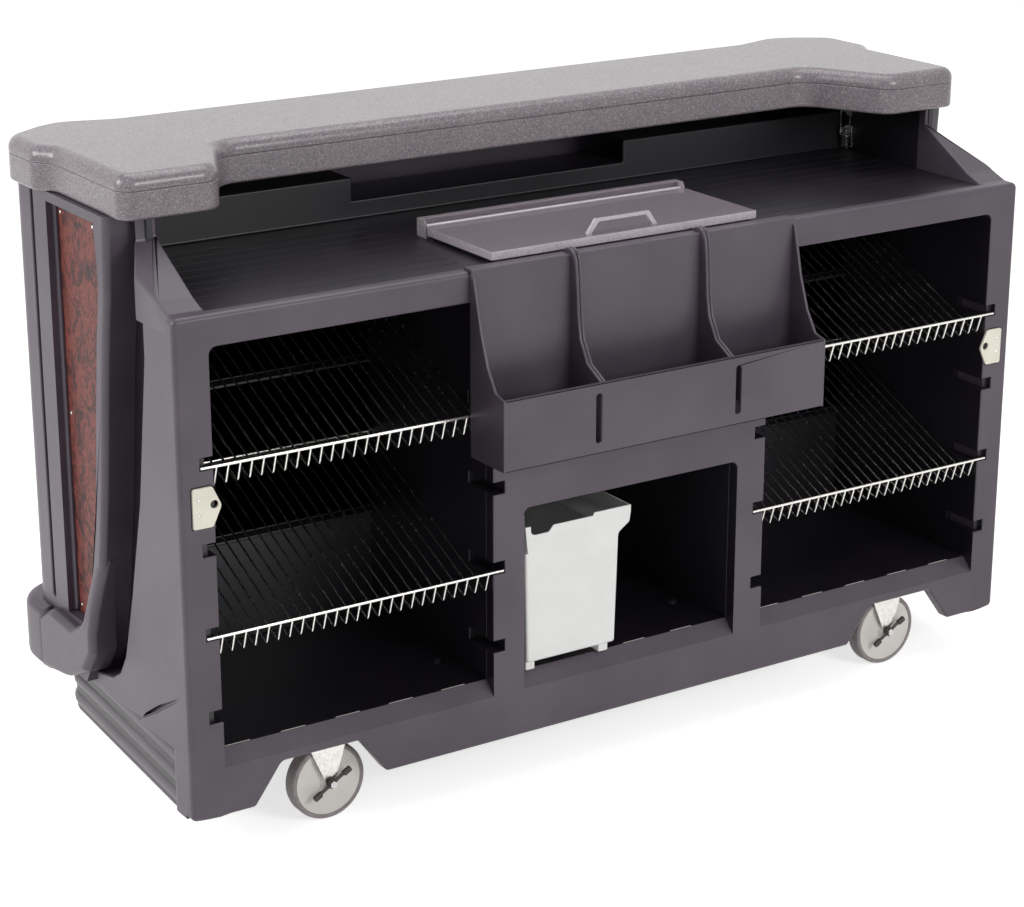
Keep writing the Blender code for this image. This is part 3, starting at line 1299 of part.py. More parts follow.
def caster(name, x, y, braked):
    caster_plate(name, x, y)
    swivel = pivot(f"{name}_swivel", (x, y, 0))
    spin = pivot(f"{name}_spin", (TRAIL, 0, axle_height()), swivel)
    caster_fork(name, x, y, swivel)
    caster_axle(name, x, y, swivel, braked)
    caster_wheel(name, x, y, spin)
    if braked:
        brake_rocker(name, x, y, pivot(f"{name}_brake_tip", (TRAIL, 0, axle_height()), swivel))


def build_cabinet():
    operator_face()
    front_skirt()
    base_pan()
    bay_back_wall()
    counter_deck()
    bar_top()
    guest_wall()
    foot_bumper()
    for side in (-1, 1):
        end_wall(side)
        bay_divider(side)
        guest_end(side)
        end_panel(side)
    for name, x in zip(("left", "centre", "right"), panel_centres()):
        guest_panel(f"burl_guest_panel_{name}", x)


def build_serving_side():
    ice_sink_tub()
    rear_strip()
    ice_lid(pivot("lid_hinge", (0, LID_HINGE_Y, lid_hinge_z())))
    speed_rail(pivot("rail_lift", (0, 0, RAIL_BOTTOM)))
    waste_bin(pivot("bin_slide", (BIN_LEFT_X, BIN_FRONT_Y, PAN_TOP)))
    for side in (-1, 1):
        strike_plate(side)
        for name, level in RACK_LEVELS:
            start = pivot(f"rack_{name}_{side_name(side)}_slide", (side * BAY_INNER_X, 0, rod_height(level)))
            rack_lip(side, name, level, start)
            rack_tray(side, name, level, start)


def build_latches():
    for side in (-1, 1):
        x = latch_x(side, LATCH_PIVOT_OUT)
        turn = pivot(f"latch_turn_{side_name(side)}", (x, LATCH_Y, LATCH_PIVOT_Z))
        latch_base(side)
        latch_keeper(side)
        latch_lever(side, turn)
        latch_bail(side, pivot(f"bail_turn_{side_name(side)}", (0, 0, -LATCH_THROW), turn))


def build_casters():
    for name, x, y, braked in (
        ("caster_front_left", -KINGPIN_X, FRONT_KINGPIN_Y, True),
        ("caster_front_right", KINGPIN_X, FRONT_KINGPIN_Y, True),
        ("caster_rear_left", -KINGPIN_X, REAR_KINGPIN_Y, False),
        ("caster_rear_right", KINGPIN_X, REAR_KINGPIN_Y, False),
    ):
        caster(name, x, y, braked)


build_cabinet()
build_serving_side()
build_latches()
build_casters()
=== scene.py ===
"""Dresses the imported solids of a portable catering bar: moulded shell, speckled top, racks and casters.

Sizes are metres. Shapes are drawn in the bar's own frame, where x is measured from the middle,
y from the operator face towards the guests and z from the floor.
"""

import math

import bmesh
import bpy
from bpy.props import FloatProperty, FloatVectorProperty, PointerProperty
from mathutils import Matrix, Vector


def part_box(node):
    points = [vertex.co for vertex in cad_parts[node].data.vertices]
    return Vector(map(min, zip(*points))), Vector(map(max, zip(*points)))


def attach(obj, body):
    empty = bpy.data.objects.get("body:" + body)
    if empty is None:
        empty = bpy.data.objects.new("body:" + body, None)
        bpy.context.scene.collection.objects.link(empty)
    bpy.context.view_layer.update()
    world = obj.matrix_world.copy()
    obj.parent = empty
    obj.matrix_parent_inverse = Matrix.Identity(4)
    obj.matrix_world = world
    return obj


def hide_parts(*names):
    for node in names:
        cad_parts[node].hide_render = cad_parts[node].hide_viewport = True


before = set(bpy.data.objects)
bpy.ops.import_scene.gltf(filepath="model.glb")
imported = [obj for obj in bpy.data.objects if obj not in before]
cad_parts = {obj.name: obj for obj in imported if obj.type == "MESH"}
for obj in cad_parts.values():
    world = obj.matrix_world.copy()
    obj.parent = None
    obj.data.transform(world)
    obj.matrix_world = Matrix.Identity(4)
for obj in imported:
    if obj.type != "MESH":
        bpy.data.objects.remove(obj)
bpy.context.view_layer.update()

bl_info = {
    "name": "Portable bar",
    "version": (1, 0, 0),
    "blender": (4, 5, 0),
    "location": "View3D > Sidebar > Portable bar",
    "description": "Models the moulded shell, fittings, racks and casters of a portable bar",
    "category": "Add Mesh",
}

FACE_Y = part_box("lock_strike_left")[0].y + 0.0023  # the operator face, in the world's Y

BAY_OUTER_X = 0.8738
BAY_INNER_X = 0.3136
CENTRE_X = 0.2461
PAN_TOP = 0.212
SILL_Z = 0.185
SKIRT_Z = 0.092
FACE_TOP = 1.008
DECK_TOP = 1.005
WALL_TOP = 1.1327
HALF_WIDTH = 0.94
NOTCH_ZS = tuple(0.2835 + 0.1552 * level for level in range(4))
NOTCH_DEPTH = 0.0252
WALL_REAR_EDGE = (
    (0.227, 0.446), (0.176, 0.637), (0.152, 0.783), (0.131, 0.91),
    (0.131, 1.0),
)
RIB_EDGE = (
    (0.240, WALL_TOP), (0.248, 0.996), (0.265, 0.903), (0.282, 0.773), (0.300, 0.624), (0.340, 0.395),
    (0.363, 0.30),
)


def linear(hex_colour):
    """An sRGB hex colour as linear red, green and blue."""
    parts = [int(hex_colour[i : i + 2], 16) / 255 for i in (1, 3, 5)]
    return [v / 12.92 if v <= 0.04045 else ((v + 0.055) / 1.055) ** 2.4 for v in parts]


# Modelling by hand


def object_mode():
    if bpy.context.mode != "OBJECT":
        bpy.ops.object.mode_set(mode="OBJECT")


def only(obj):
    """Selects this object alone and makes it the active one."""
    object_mode()
    bpy.ops.object.select_all(action="DESELECT")
    obj.select_set(True)
    bpy.context.view_layer.objects.active = obj


def draw(name, points, close=True):
    """One vertex extruded from point to point, in edit mode; closed into a loop or left open."""
    object_mode()
    bpy.ops.object.select_all(action="DESELECT")
    bpy.ops.mesh.primitive_plane_add(size=0.001)
    obj = bpy.context.object
    obj.name = name
    obj.data.name = name
    bpy.ops.object.mode_set(mode="EDIT")
    bpy.ops.mesh.merge(type="CENTER")
    bpy.ops.transform.translate(value=points[0])
    for last, point in zip(points, points[1:]):
        step = Vector(point) - Vector(last)
        bpy.ops.mesh.extrude_region_move(TRANSFORM_OT_translate={"value": step})
    if close:
        work = bmesh.from_edit_mesh(obj.data)
        work.verts.ensure_lookup_table()
        for vert in work.verts:
            vert.select = False
        work.verts[0].select = True
        work.verts[len(points) - 1].select = True
        work.select_flush(True)
        bmesh.update_edit_mesh(obj.data)
        bpy.ops.mesh.edge_face_add()
        bpy.ops.mesh.select_all(action="SELECT")
    return obj


def solid(name, axis, span, outline):
    """An outline extruded along an axis: YZ outlines for X, XZ for Y and XY for Z."""
    at = span[0]
    put = {"X": lambda u, v: (at, u, v), "Y": lambda u, v: (u, at, v), "Z": lambda u, v: (u, v, at)}[axis]
    obj = draw(name, [put(u, v) for u, v in outline])
    bpy.ops.mesh.edge_face_add()
    step = [0, 0, 0]
    step["XYZ".index(axis)] = span[1] - span[0]
    bpy.ops.mesh.extrude_region_move(TRANSFORM_OT_translate={"value": step})
    outward()
    return obj


def outward():
    """Turns every face of the edited mesh outwards and leaves edit mode."""
    bpy.ops.mesh.select_all(action="SELECT")
    bpy.ops.mesh.normals_make_consistent(inside=False)
    object_mode()


def block(name, xs, ys, zs):
    """A cube primitive scaled to fill the given spans."""
    object_mode()
    bpy.ops.object.select_all(action="DESELECT")
    middle = [(pair[0] + pair[1]) / 2 for pair in (xs, ys, zs)]
    sizes = [abs(pair[1] - pair[0]) for pair in (xs, ys, zs)]
    bpy.ops.mesh.primitive_cube_add(size=1, location=middle, scale=sizes)
    obj = bpy.context.object
    obj.name = name
    obj.data.name = name
    bpy.ops.object.transform_apply(location=True, rotation=True, scale=True)
    return obj


def lathe(name, profile, centre=(0, 0, 0), axis="Z", steps=48):
    """A closed (radius, height) profile spun round an axis through the centre."""
    obj = draw(name, [(radius, 0, height) for radius, height in profile])
    bpy.ops.mesh.spin(steps=steps, angle=2 * math.pi, center=(0, 0, 0), axis=(0, 0, 1))
    bpy.ops.mesh.select_all(action="SELECT")
    bpy.ops.mesh.remove_doubles(threshold=0.00002)
    outward()
    if axis == "Y":
        obj.rotation_euler = (math.pi / 2, 0, 0)
    if axis == "X":
        obj.rotation_euler = (0, math.pi / 2, 0)
    obj.location = centre
    only(obj)
    bpy.ops.object.transform_apply(location=True, rotation=True, scale=True)
    return obj


def tube(name, paths, radius, resolution=3, cyclic=False):
    """Round wire along each path, drawn as edges and turned into a bevelled curve and back."""
    pieces = []
    for path in paths:
        pieces.append(draw(name, path, close=cyclic))
        object_mode()
    only(pieces[0])
    for piece in pieces[1:]:
        piece.select_set(True)
    if len(pieces) > 1:
        bpy.ops.object.join()
    bpy.ops.object.convert(target="CURVE")
    obj = bpy.context.object
    obj.data.bevel_depth = radius
    obj.data.bevel_resolution = resolution
    obj.data.use_fill_caps = True
    bpy.ops.object.convert(target="MESH")
    obj = bpy.context.object
    bpy.ops.object.mode_set(mode="EDIT")
    bpy.ops.mesh.select_all(action="SELECT")
    bpy.ops.mesh.remove_doubles(threshold=0.00001)
    outward()
    return obj


def with_modifier(obj, kind, **settings):
    """Gives the object a modifier with these settings and applies it."""
    only(obj)
    modifier = obj.modifiers.new(kind.lower(), kind)
    for key, value in settings.items():
        setattr(modifier, key, value)
    bpy.ops.object.modifier_apply(modifier=modifier.name)
    return obj


def carve(obj, *tools):
    for tool in tools:
        with_modifier(obj, "BOOLEAN", object=tool, operation="DIFFERENCE", solver="EXACT")
        bpy.data.objects.remove(tool, do_unlink=True)
    return obj


def unite(obj, *tools):
    for tool in tools:
        with_modifier(obj, "BOOLEAN", object=tool, operation="UNION", solver="EXACT")
        bpy.data.objects.remove(tool, do_unlink=True)
    return obj


def merged(obj, *others):
    """Joins separate shells into one piece."""
    only(obj)
    for other in others:
        other.select_set(True)
    bpy.ops.object.join()
    return obj


def soften(obj, width, segments=3, angle=35):
    return with_modifier(
        obj, "BEVEL", width=width, segments=segments, limit_method="ANGLE",
        angle_limit=math.radians(angle), use_clamp_overlap=False,
    )


def soften_where(obj, test, width, segments=3, angle=20):
    """Bevels the folded edges whose two ends both pass the test."""
    only(obj)
    bpy.ops.object.mode_set(mode="EDIT")
    bpy.ops.mesh.select_mode(type="EDGE")
    work = bmesh.from_edit_mesh(obj.data)
    for face in work.faces:
        face.select = False
    for edge in work.edges:
        folded = len(edge.link_faces) == 2 and edge.calc_face_angle() > math.radians(angle)
        edge.select = folded and all(test(*vert.co) for vert in edge.verts)
    bmesh.update_edit_mesh(obj.data)
    bpy.ops.mesh.bevel(offset=width, segments=segments, affect="EDGES", clamp_overlap=False)
    bpy.ops.mesh.select_mode(type="VERT")
    object_mode()
    return obj


def move(obj, x=0, y=0, z=0):
    only(obj)
    bpy.ops.transform.translate(value=(x, y, z))
    bpy.ops.object.transform_apply(location=True, rotation=True, scale=True)
    return obj


def copy_of(obj, name):
    only(obj)
    bpy.ops.object.duplicate()
    made = bpy.context.object
    made.name = name
    made.data.name = name
    return made


def mirrored(obj, name):
    """A copy on the other side of the bar's middle, with its faces turned outwards."""
    made = copy_of(obj, name)
    made.scale.x = -1
    bpy.ops.object.transform_apply(location=True, rotation=True, scale=True)
    bpy.ops.object.mode_set(mode="EDIT")
    outward()
    return made


def node_copy(node, name, width=0.0, segments=2, angle=35):
    """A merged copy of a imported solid, in the bar's own frame, with its edges softened."""
    made = copy_of(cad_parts[node], name)
    made.parent = None
    bpy.ops.object.mode_set(mode="EDIT")
    bpy.ops.mesh.select_all(action="SELECT")
    bpy.ops.mesh.remove_doubles(threshold=0.00001)
    bpy.ops.mesh.dissolve_limited(angle_limit=math.radians(1))
    bpy.ops.mesh.select_all(action="DESELECT")
    object_mode()
    move(made, y=-FACE_Y)
    if width:
        soften(made, width, segments, angle)
    return made


def settle(obj, body, material, replaces=(), smooth=40, trim=None):
    """Puts a finished piece in its place in the world and lets it ride on its body. A trim is a
    second material and the test that says which faces take it, from their centre and normal."""
    move(obj, y=FACE_Y)
    bpy.ops.object.shade_smooth_by_angle(angle=math.radians(smooth))
    with_modifier(obj, "WEIGHTED_NORMAL", keep_sharp=True)
    obj.data.materials.clear()
    obj.data.materials.append(MATERIALS[material])
    if trim:
        obj.data.materials.append(MATERIALS[trim[0]])
        for face in obj.data.polygons:
            face.material_index = int(trim[1](face.center - Vector((0, FACE_Y, 0)), face.normal))
    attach(obj, body)
    if replaces:
        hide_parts(*replaces)
    return obj


def fillet(corners, segments=6):
    """A closed outline from (x, y, radius) corners, each turned into an arc."""
    points = []
    count = len(corners)
    for index, (x, y, radius) in enumerate(corners):
        if radius == 0:
            points.append((x, y))
            continue
        sides = []
        for other in (corners[index - 1], corners[(index + 1) % count]):
            dx, dy = other[0] - x, other[1] - y
            length = math.hypot(dx, dy)
            sides.append((dx / length, dy / length))
        (ax, ay), (bx, by) = sides
        half = math.acos(max(-1, min(1, ax * bx + ay * by))) / 2
        reach = radius / math.tan(half)
        out = radius / math.sin(half)
        size = math.hypot(ax + bx, ay + by)
        cx, cy = x + (ax + bx) / size * out, y + (ay + by) / size * out
        start = math.atan2(y + ay * reach - cy, x + ax * reach - cx)
        end = math.atan2(y + by * reach - cy, x + bx * reach - cx)
        turn = (end - start + math.pi) % (2 * math.pi) - math.pi
        for step in range(segments + 1):
            angle = start + turn * step / segments
            points.append((cx + radius * math.cos(angle), cy + radius * math.sin(angle)))
    return points


def rounded(x0, x1, y0, y1, radius, segments=6):
    x0, x1 = min(x0, x1), max(x0, x1)
    return fillet([(x0, y0, radius), (x1, y0, radius), (x1, y1, radius), (x0, y1, radius)], segments)


def ring(x, y, radius, sides=32):
    turns = [2 * math.pi * step / sides for step in range(sides)]
    return [(x + radius * math.cos(a), y + radius * math.sin(a)) for a in turns]


def bowed(corners, radius, steps=5):
    """A 3-D polyline whose inner corners are turned into short arcs."""
    path = [corners[0]]
    for before, corner, after in zip(corners, corners[1:], corners[2:]):
        here = Vector(corner)
        back, on = (Vector(before) - here), (Vector(after) - here)
        reach = min(radius, back.length * 0.49, on.length * 0.49)
        start, end = here + back.normalized() * reach, here + on.normalized() * reach
        for step in range(steps + 1):
            t = step / steps
            path.append(tuple(start * (1 - t) ** 2 + here * 2 * t * (1 - t) + end * t ** 2))
    path.append(corners[-1])
    return path


# Materials

MATERIALS = {}


def wire(tree, node, inputs):
    """Sets a node's inputs; one given as a socket is linked."""
    for key, value in inputs.items():
        if isinstance(value, bpy.types.NodeSocket):
            tree.links.new(value, node.inputs[key])
        else:
            node.inputs[key].default_value = value


def add(tree, kind, inputs, out=0, stops=(), **settings):
    """Adds a node with its settings, colour stops and links, and returns one of its outputs."""
    node = tree.nodes.new(kind)
    for key, value in settings.items():
        setattr(node, key, value)
    for index, (position, colour) in enumerate(stops):
        elements = node.color_ramp.elements
        element = elements[index] if index < len(elements) else elements.new(position)
        element.position = position
        element.color = (*linear(colour), 1)
    wire(tree, node, inputs)
    return node.outputs[out]


def begin(name, **constants):
    """A material with its shader's own constants set; returns tree, shader and object coordinates."""
    made = bpy.data.materials.new(name)
    made.use_nodes = True
    MATERIALS[name] = made
    tree = made.node_tree
    shader = tree.nodes["Principled BSDF"]
    for key, value in constants.items():
        shader.inputs[key.replace("_", " ").title().replace("Ior", "IOR")].default_value = value
    return tree, shader, add(tree, "ShaderNodeTexCoord", {}, "Object")


def per(millimetres):
    """The texture scale whose features are about this many millimetres across."""
    return 1000 / millimetres


def moulded_polyethylene(name, dark, light, roughness):
    """Rotationally moulded polyethylene: an even, waxy satin skin, faintly mottled, with the fine
    pebbled grain that the sand-blasted mould leaves. The grain is drawn at 3 mm, coarser than real."""
    tree, shader, where = begin(name, ior=1.51)
    cloud = add(tree, "ShaderNodeTexNoise", {"Vector": where, "Scale": per(160), "Detail": 3.0})
    tone = add(tree, "ShaderNodeValToRGB", {"Fac": cloud}, stops=((0.35, dark), (0.65, light)))
    grain = add(tree, "ShaderNodeTexNoise", {"Vector": where, "Scale": per(3), "Detail": 2.0})
    gloss = add(tree, "ShaderNodeMapRange", {
        "Value": grain, "To Min": roughness - 0.05, "To Max": roughness + 0.07})
    bump = add(tree, "ShaderNodeBump", {"Height": grain, "Distance": 0.00025, "Strength": 0.6})
    wire(tree, shader, {"Base Color": tone, "Roughness": gloss, "Normal": bump})


def speckled_polyethylene():
    """Granite-look moulded polyethylene of the bar top: dark and pale pigment flecks of 1 to 2 mm
    in a warm grey body, under a smooth, fairly glossy skin."""
    tree, shader, where = begin("speckled_polyethylene", ior=1.51, roughness=0.30, coat_weight=0.25)
    flecks = add(tree, "ShaderNodeTexVoronoi", {"Vector": where, "Scale": per(1.9)}, "Color")
    value = add(tree, "ShaderNodeSeparateColor", {"Color": flecks})
    spots = add(tree, "ShaderNodeValToRGB", {"Fac": value}, stops=(
        (0.0, "#2A242C"), (0.2, "#615960"), (0.45, "#786F74"), (0.8, "#857C80"), (1.0, "#BEB7B9")))
    cloud = add(tree, "ShaderNodeTexNoise", {"Vector": where, "Scale": per(90), "Detail": 3.0})
    shade = add(tree, "ShaderNodeValToRGB", {"Fac": cloud}, stops=((0.3, "#726A70"), (0.7, "#80777C")))
    blend = add(tree, "ShaderNodeMix", {0: 0.5, 6: shade, 7: spots}, 2, data_type="RGBA")
    peel = add(tree, "ShaderNodeTexNoise", {"Vector": where, "Scale": per(4), "Detail": 2.0})
    bump = add(tree, "ShaderNodeBump", {"Height": peel, "Distance": 0.00012, "Strength": 0.5})
    wire(tree, shader, {"Base Color": blend, "Normal": bump, "Coat Roughness": 0.18})


def burl_laminate():
    """High-pressure laminate printed with walnut burl: red-brown swirls round small dark eyes,
    under a satin face."""
    tree, shader, where = begin("burl_laminate", ior=1.5, roughness=0.55)
    space = add(tree, "ShaderNodeMapping", {"Vector": where, "Scale": (1.0, 1.0, 0.62)})
    swirl = add(tree, "ShaderNodeTexNoise", {
        "Vector": space, "Scale": per(70), "Detail": 8.0, "Roughness": 0.7, "Distortion": 2.6})
    fine = add(tree, "ShaderNodeTexNoise", {
        "Vector": space, "Scale": per(16), "Detail": 5.0, "Roughness": 0.65, "Distortion": 2.0})
    figure = add(tree, "ShaderNodeMath", {0: swirl, 1: 0.55}, operation="MULTIPLY")
    both = add(tree, "ShaderNodeMath", {0: fine, 1: 0.45, 2: figure}, operation="MULTIPLY_ADD")
    wood = add(tree, "ShaderNodeValToRGB", {"Fac": both}, stops=(
        (0.40, "#180708"), (0.46, "#3A1614"), (0.50, "#5E2823"), (0.55, "#7C3E34"), (0.62, "#431B18")))
    eyes = add(tree, "ShaderNodeTexVoronoi", {"Vector": space, "Scale": per(30)})
    knot = add(tree, "ShaderNodeValToRGB", {"Fac": eyes}, stops=((0.0, "#70625E"), (0.16, "#FFFFFF")))
    marked = add(tree, "ShaderNodeMix", {0: 0.7, 6: wood, 7: knot}, 2, data_type="RGBA",
                 blend_type="MULTIPLY")
    wire(tree, shader, {"Base Color": marked})


def clear_polycarbonate():
    """Clear polycarbonate sheet in daily use: glassy, with the faintest ripple, and a grey diffuse part
    that is a painted reflection of the grey bar top."""
    tree, shader, where = begin("clear_polycarbonate", ior=1.5, roughness=0.12, transmission_weight=0.6)
    ripple = add(tree, "ShaderNodeTexNoise", {"Vector": where, "Scale": per(45), "Detail": 1.0})
    bump = add(tree, "ShaderNodeBump", {"Height": ripple, "Distance": 0.0001, "Strength": 0.4})
    wire(tree, shader, {"Base Color": (*linear("#BDB3BA"), 1), "Normal": bump})


def sawn_polycarbonate_highlight():
    """The sawn and flamed edges of the clear sheet: milky, with a painted highlight that makes them
    brighter than its faces."""
    tree, shader, where = begin("sawn_polycarbonate_highlight", ior=1.5, roughness=0.2, transmission_weight=0.25)
    saw = add(tree, "ShaderNodeTexNoise", {"Vector": where, "Scale": per(4), "Detail": 2.0})
    tone = add(tree, "ShaderNodeValToRGB", {"Fac": saw}, stops=((0.3, "#CDC3CA"), (0.7, "#EAE2E6")))
    bump = add(tree, "ShaderNodeBump", {"Height": saw, "Distance": 0.0001, "Strength": 0.2})
    wire(tree, shader, {"Base Color": tone, "Normal": bump})


def satin_plastic(name, colour, shadow, roughness):
    """Injection-moulded plastic: one even colour with a slight bloom, and a fine satin texture."""
    tree, shader, where = begin(name, ior=1.49)
    cloud = add(tree, "ShaderNodeTexNoise", {"Vector": where, "Scale": per(70), "Detail": 2.0})
    tone = add(tree, "ShaderNodeValToRGB", {"Fac": cloud}, stops=((0.3, shadow), (0.7, colour)))
    grain = add(tree, "ShaderNodeTexNoise", {"Vector": where, "Scale": per(2.5), "Detail": 2.0})
    gloss = add(tree, "ShaderNodeMapRange", {
        "Value": grain, "To Min": roughness - 0.04, "To Max": roughness + 0.06})
    bump = add(tree, "ShaderNodeBump", {"Height": grain, "Distance": 0.0001, "Strength": 0.5})
    wire(tree, shader, {"Base Color": tone, "Roughness": gloss, "Normal": bump})


def plated_steel(name, light, dark, roughness):
    """Zinc-plated or bright-drawn steel: a pale metal, a little uneven in tone and polish."""
    tree, shader, where = begin(name, metallic=1.0)
    spangle = add(tree, "ShaderNodeTexNoise", {"Vector": where, "Scale": per(6), "Detail": 3.0})
    tone = add(tree, "ShaderNodeValToRGB", {"Fac": spangle}, stops=((0.3, dark), (0.7, light)))
    gloss = add(tree, "ShaderNodeMapRange", {
        "Value": spangle, "To Min": roughness - 0.06, "To Max": roughness + 0.08})
    wire(tree, shader, {"Base Color": tone, "Roughness": gloss})


def tread_rubber(name, dark, light):
    """Thermoplastic rubber: matt, a little dusty, with a soft grain of about 2 mm."""
    tree, shader, where = begin(name, ior=1.5, roughness=0.62)
    dust = add(tree, "ShaderNodeTexNoise", {"Vector": where, "Scale": per(12), "Detail": 4.0})
    tone = add(tree, "ShaderNodeValToRGB", {"Fac": dust}, stops=((0.35, dark), (0.7, light)))
    grain = add(tree, "ShaderNodeTexNoise", {"Vector": where, "Scale": per(2), "Detail": 2.0})
    bump = add(tree, "ShaderNodeBump", {"Height": grain, "Distance": 0.00015, "Strength": 0.6})
    wire(tree, shader, {"Base Color": tone, "Normal": bump})


def make_materials():
    moulded_polyethylene("charcoal_polyethylene", "#453C47", "#504752", 0.38)
    # A darker copy of the shell's plastic, for painted shade inside the bays, the counter's well and the floor
    # pan.
    moulded_polyethylene("painted_shade_polyethylene", "#131016", "#1C181F", 0.38)
    speckled_polyethylene()
    burl_laminate()
    clear_polycarbonate()
    sawn_polycarbonate_highlight()
    satin_plastic("white_polypropylene", "#F8F8F7", "#F2F2F0", 0.38)
    satin_plastic("ivory_nylon", "#F3EFE0", "#E9E4D2", 0.40)
    satin_plastic("pale_grey_polypropylene", "#EFEBE6", "#E4E0DA", 0.42)
    plated_steel("zinc_plate", "#E2E1DC", "#C9C7C1", 0.30)
    plated_steel("bright_wire", "#F0EEEA", "#DAD8D2", 0.24)
    plated_steel("stainless_steel", "#CDCCCB", "#B4B3B2", 0.26)
    tread_rubber("grey_tread_rubber", "#908889", "#A29A9B")
    tread_rubber("dark_rubber", "#3A3635", "#4A4643")


# Sizes a user would change


class BarSizes(bpy.types.PropertyGroup):
    shell_edge: FloatProperty(
        name="Shell edge", description="Rounding of the moulded shell's outer edges", default=0.009,
        min=0.001, max=0.011, unit="LENGTH")
    opening_edge: FloatProperty(
        name="Opening edge", description="Rounding round the bays and arches", default=0.004,
        min=0.001, max=0.006, unit="LENGTH")
    top_edge: FloatProperty(
        name="Top edge", description="Rounding of the bar top's bullnose", default=0.0215, min=0.005,
        max=0.023, unit="LENGTH")
    wire: FloatProperty(
        name="Wire", description="Radius of the racks' cross wires", default=0.0020, min=0.001,
        max=0.003, unit="LENGTH")
    rod: FloatProperty(
        name="Rod", description="Radius of the racks' front and rear rods", default=0.0029, min=0.001,
        max=0.004, unit="LENGTH")


class BarLight(bpy.types.PropertyGroup):
    key: FloatProperty(name="Key light", description="Power of the left softbox", default=94.0, unit="POWER")
    top: FloatProperty(name="Top light", description="Power of the overhead softbox", default=56.0, unit="POWER")
    front: FloatProperty(name="Front light", description="Power of the fill by the camera", default=80.0,
                         unit="POWER")
    floor: FloatVectorProperty(
        name="Floor", description="Colour of the floor", subtype="COLOR", default=linear("#F4F3F2"), min=0, max=1)


def sizes():
    return bpy.context.scene.bar_sizes


def sizes_of_light():
    return bpy.context.scene.bar_light


# The shell


def plan_top():
    """The bar top's plan: straight inner edge, S-curves to the wings and a lobe at each end."""
    half = [
        (0.668, 0.354, 0.06), (0.752, 0.187, 0.045), (0.935, 0.187, 0.03), (0.935, 0.462, 0.045),
        (0.962, 0.50, 0.035), (0.962, 0.622, 0.06), (0.885, 0.672, 0.07), (0.83, 0.692, 0.09),
        (0.725, 0.660, 0.12),
    ]
    return fillet([*half, *((-x, y, radius) for x, y, radius in reversed(half))], 7)


class BAR_OT_top(bpy.types.Operator):
    """Models the bar top: a thick slab with a crease below its rounded upper edge"""

    bl_idname = "bar.top"
    bl_label = "Bar top"

    def execute(self, context):
        radius = sizes().top_edge
        seam = 1.1835
        top = solid("bar_top_skin", "Z", (1.133, seam + 0.0002), plan_top())
        soften_where(top, lambda x, y, z: z < 1.1331, 0.005, 3)
        soften_where(top, lambda x, y, z: z > seam, 0.0022, 3)
        crown = draw("crown", [(x, y, seam) for x, y in plan_top()])
        bpy.ops.mesh.edge_face_add()
        bpy.ops.mesh.extrude_region_move(
            TRANSFORM_OT_translate={"value": (0, 0, 1.213 - radius - seam)})
        steps = 7
        for step in range(steps):
            low, high = (math.pi / 2 * part / steps for part in (step, step + 1))
            bpy.ops.mesh.inset(thickness=radius * (math.cos(low) - math.cos(high)), depth=0)
            bpy.ops.transform.translate(value=(0, 0, radius * (math.sin(high) - math.sin(low))))
        outward()
        soften_where(crown, lambda x, y, z: z < seam + 0.0001, 0.0022, 3)
        merged(top, crown)
        settle(top, "cabinet", "speckled_polyethylene", ["bar_top"], 50)
        return {"FINISHED"}


def bay_outline(near, far):
    """A side bay with its rack notches, from the inner to the outer x, open below at the sill."""
    out = 1 if far > near else -1
    half = 0.0115
    loop = [(near, SILL_Z), (far, SILL_Z)]
    for z in NOTCH_ZS:
        deep = far + out * NOTCH_DEPTH
        loop += [(far, z - half), (deep, z - half), (deep, z + half), (far, z + half)]
    loop += fillet([(far, 0.85, 0), (far, 0.951, 0.014), (near, 0.951, 0.014), (near, 0.85, 0)])[1:-1]
    for z in reversed(NOTCH_ZS):
        deep = near - out * NOTCH_DEPTH
        loop += [(near, z + half), (deep, z + half), (deep, z - half), (near, z - half)]
    return loop


def strike_outline(side, growth):
    corners = [
        (0.917 + growth, 0.709 + growth, 0.004), (0.917 + growth, 0.636 - growth, 0.004),
        (0.879 - growth, 0.636 - growth, 0.006), (0.862 - growth, 0.6725, 0.010),
        (0.879 - growth, 0.709 + growth, 0.006),
    ]
    return fillet([(side * x, z, radius) for x, z, radius in corners], 4)


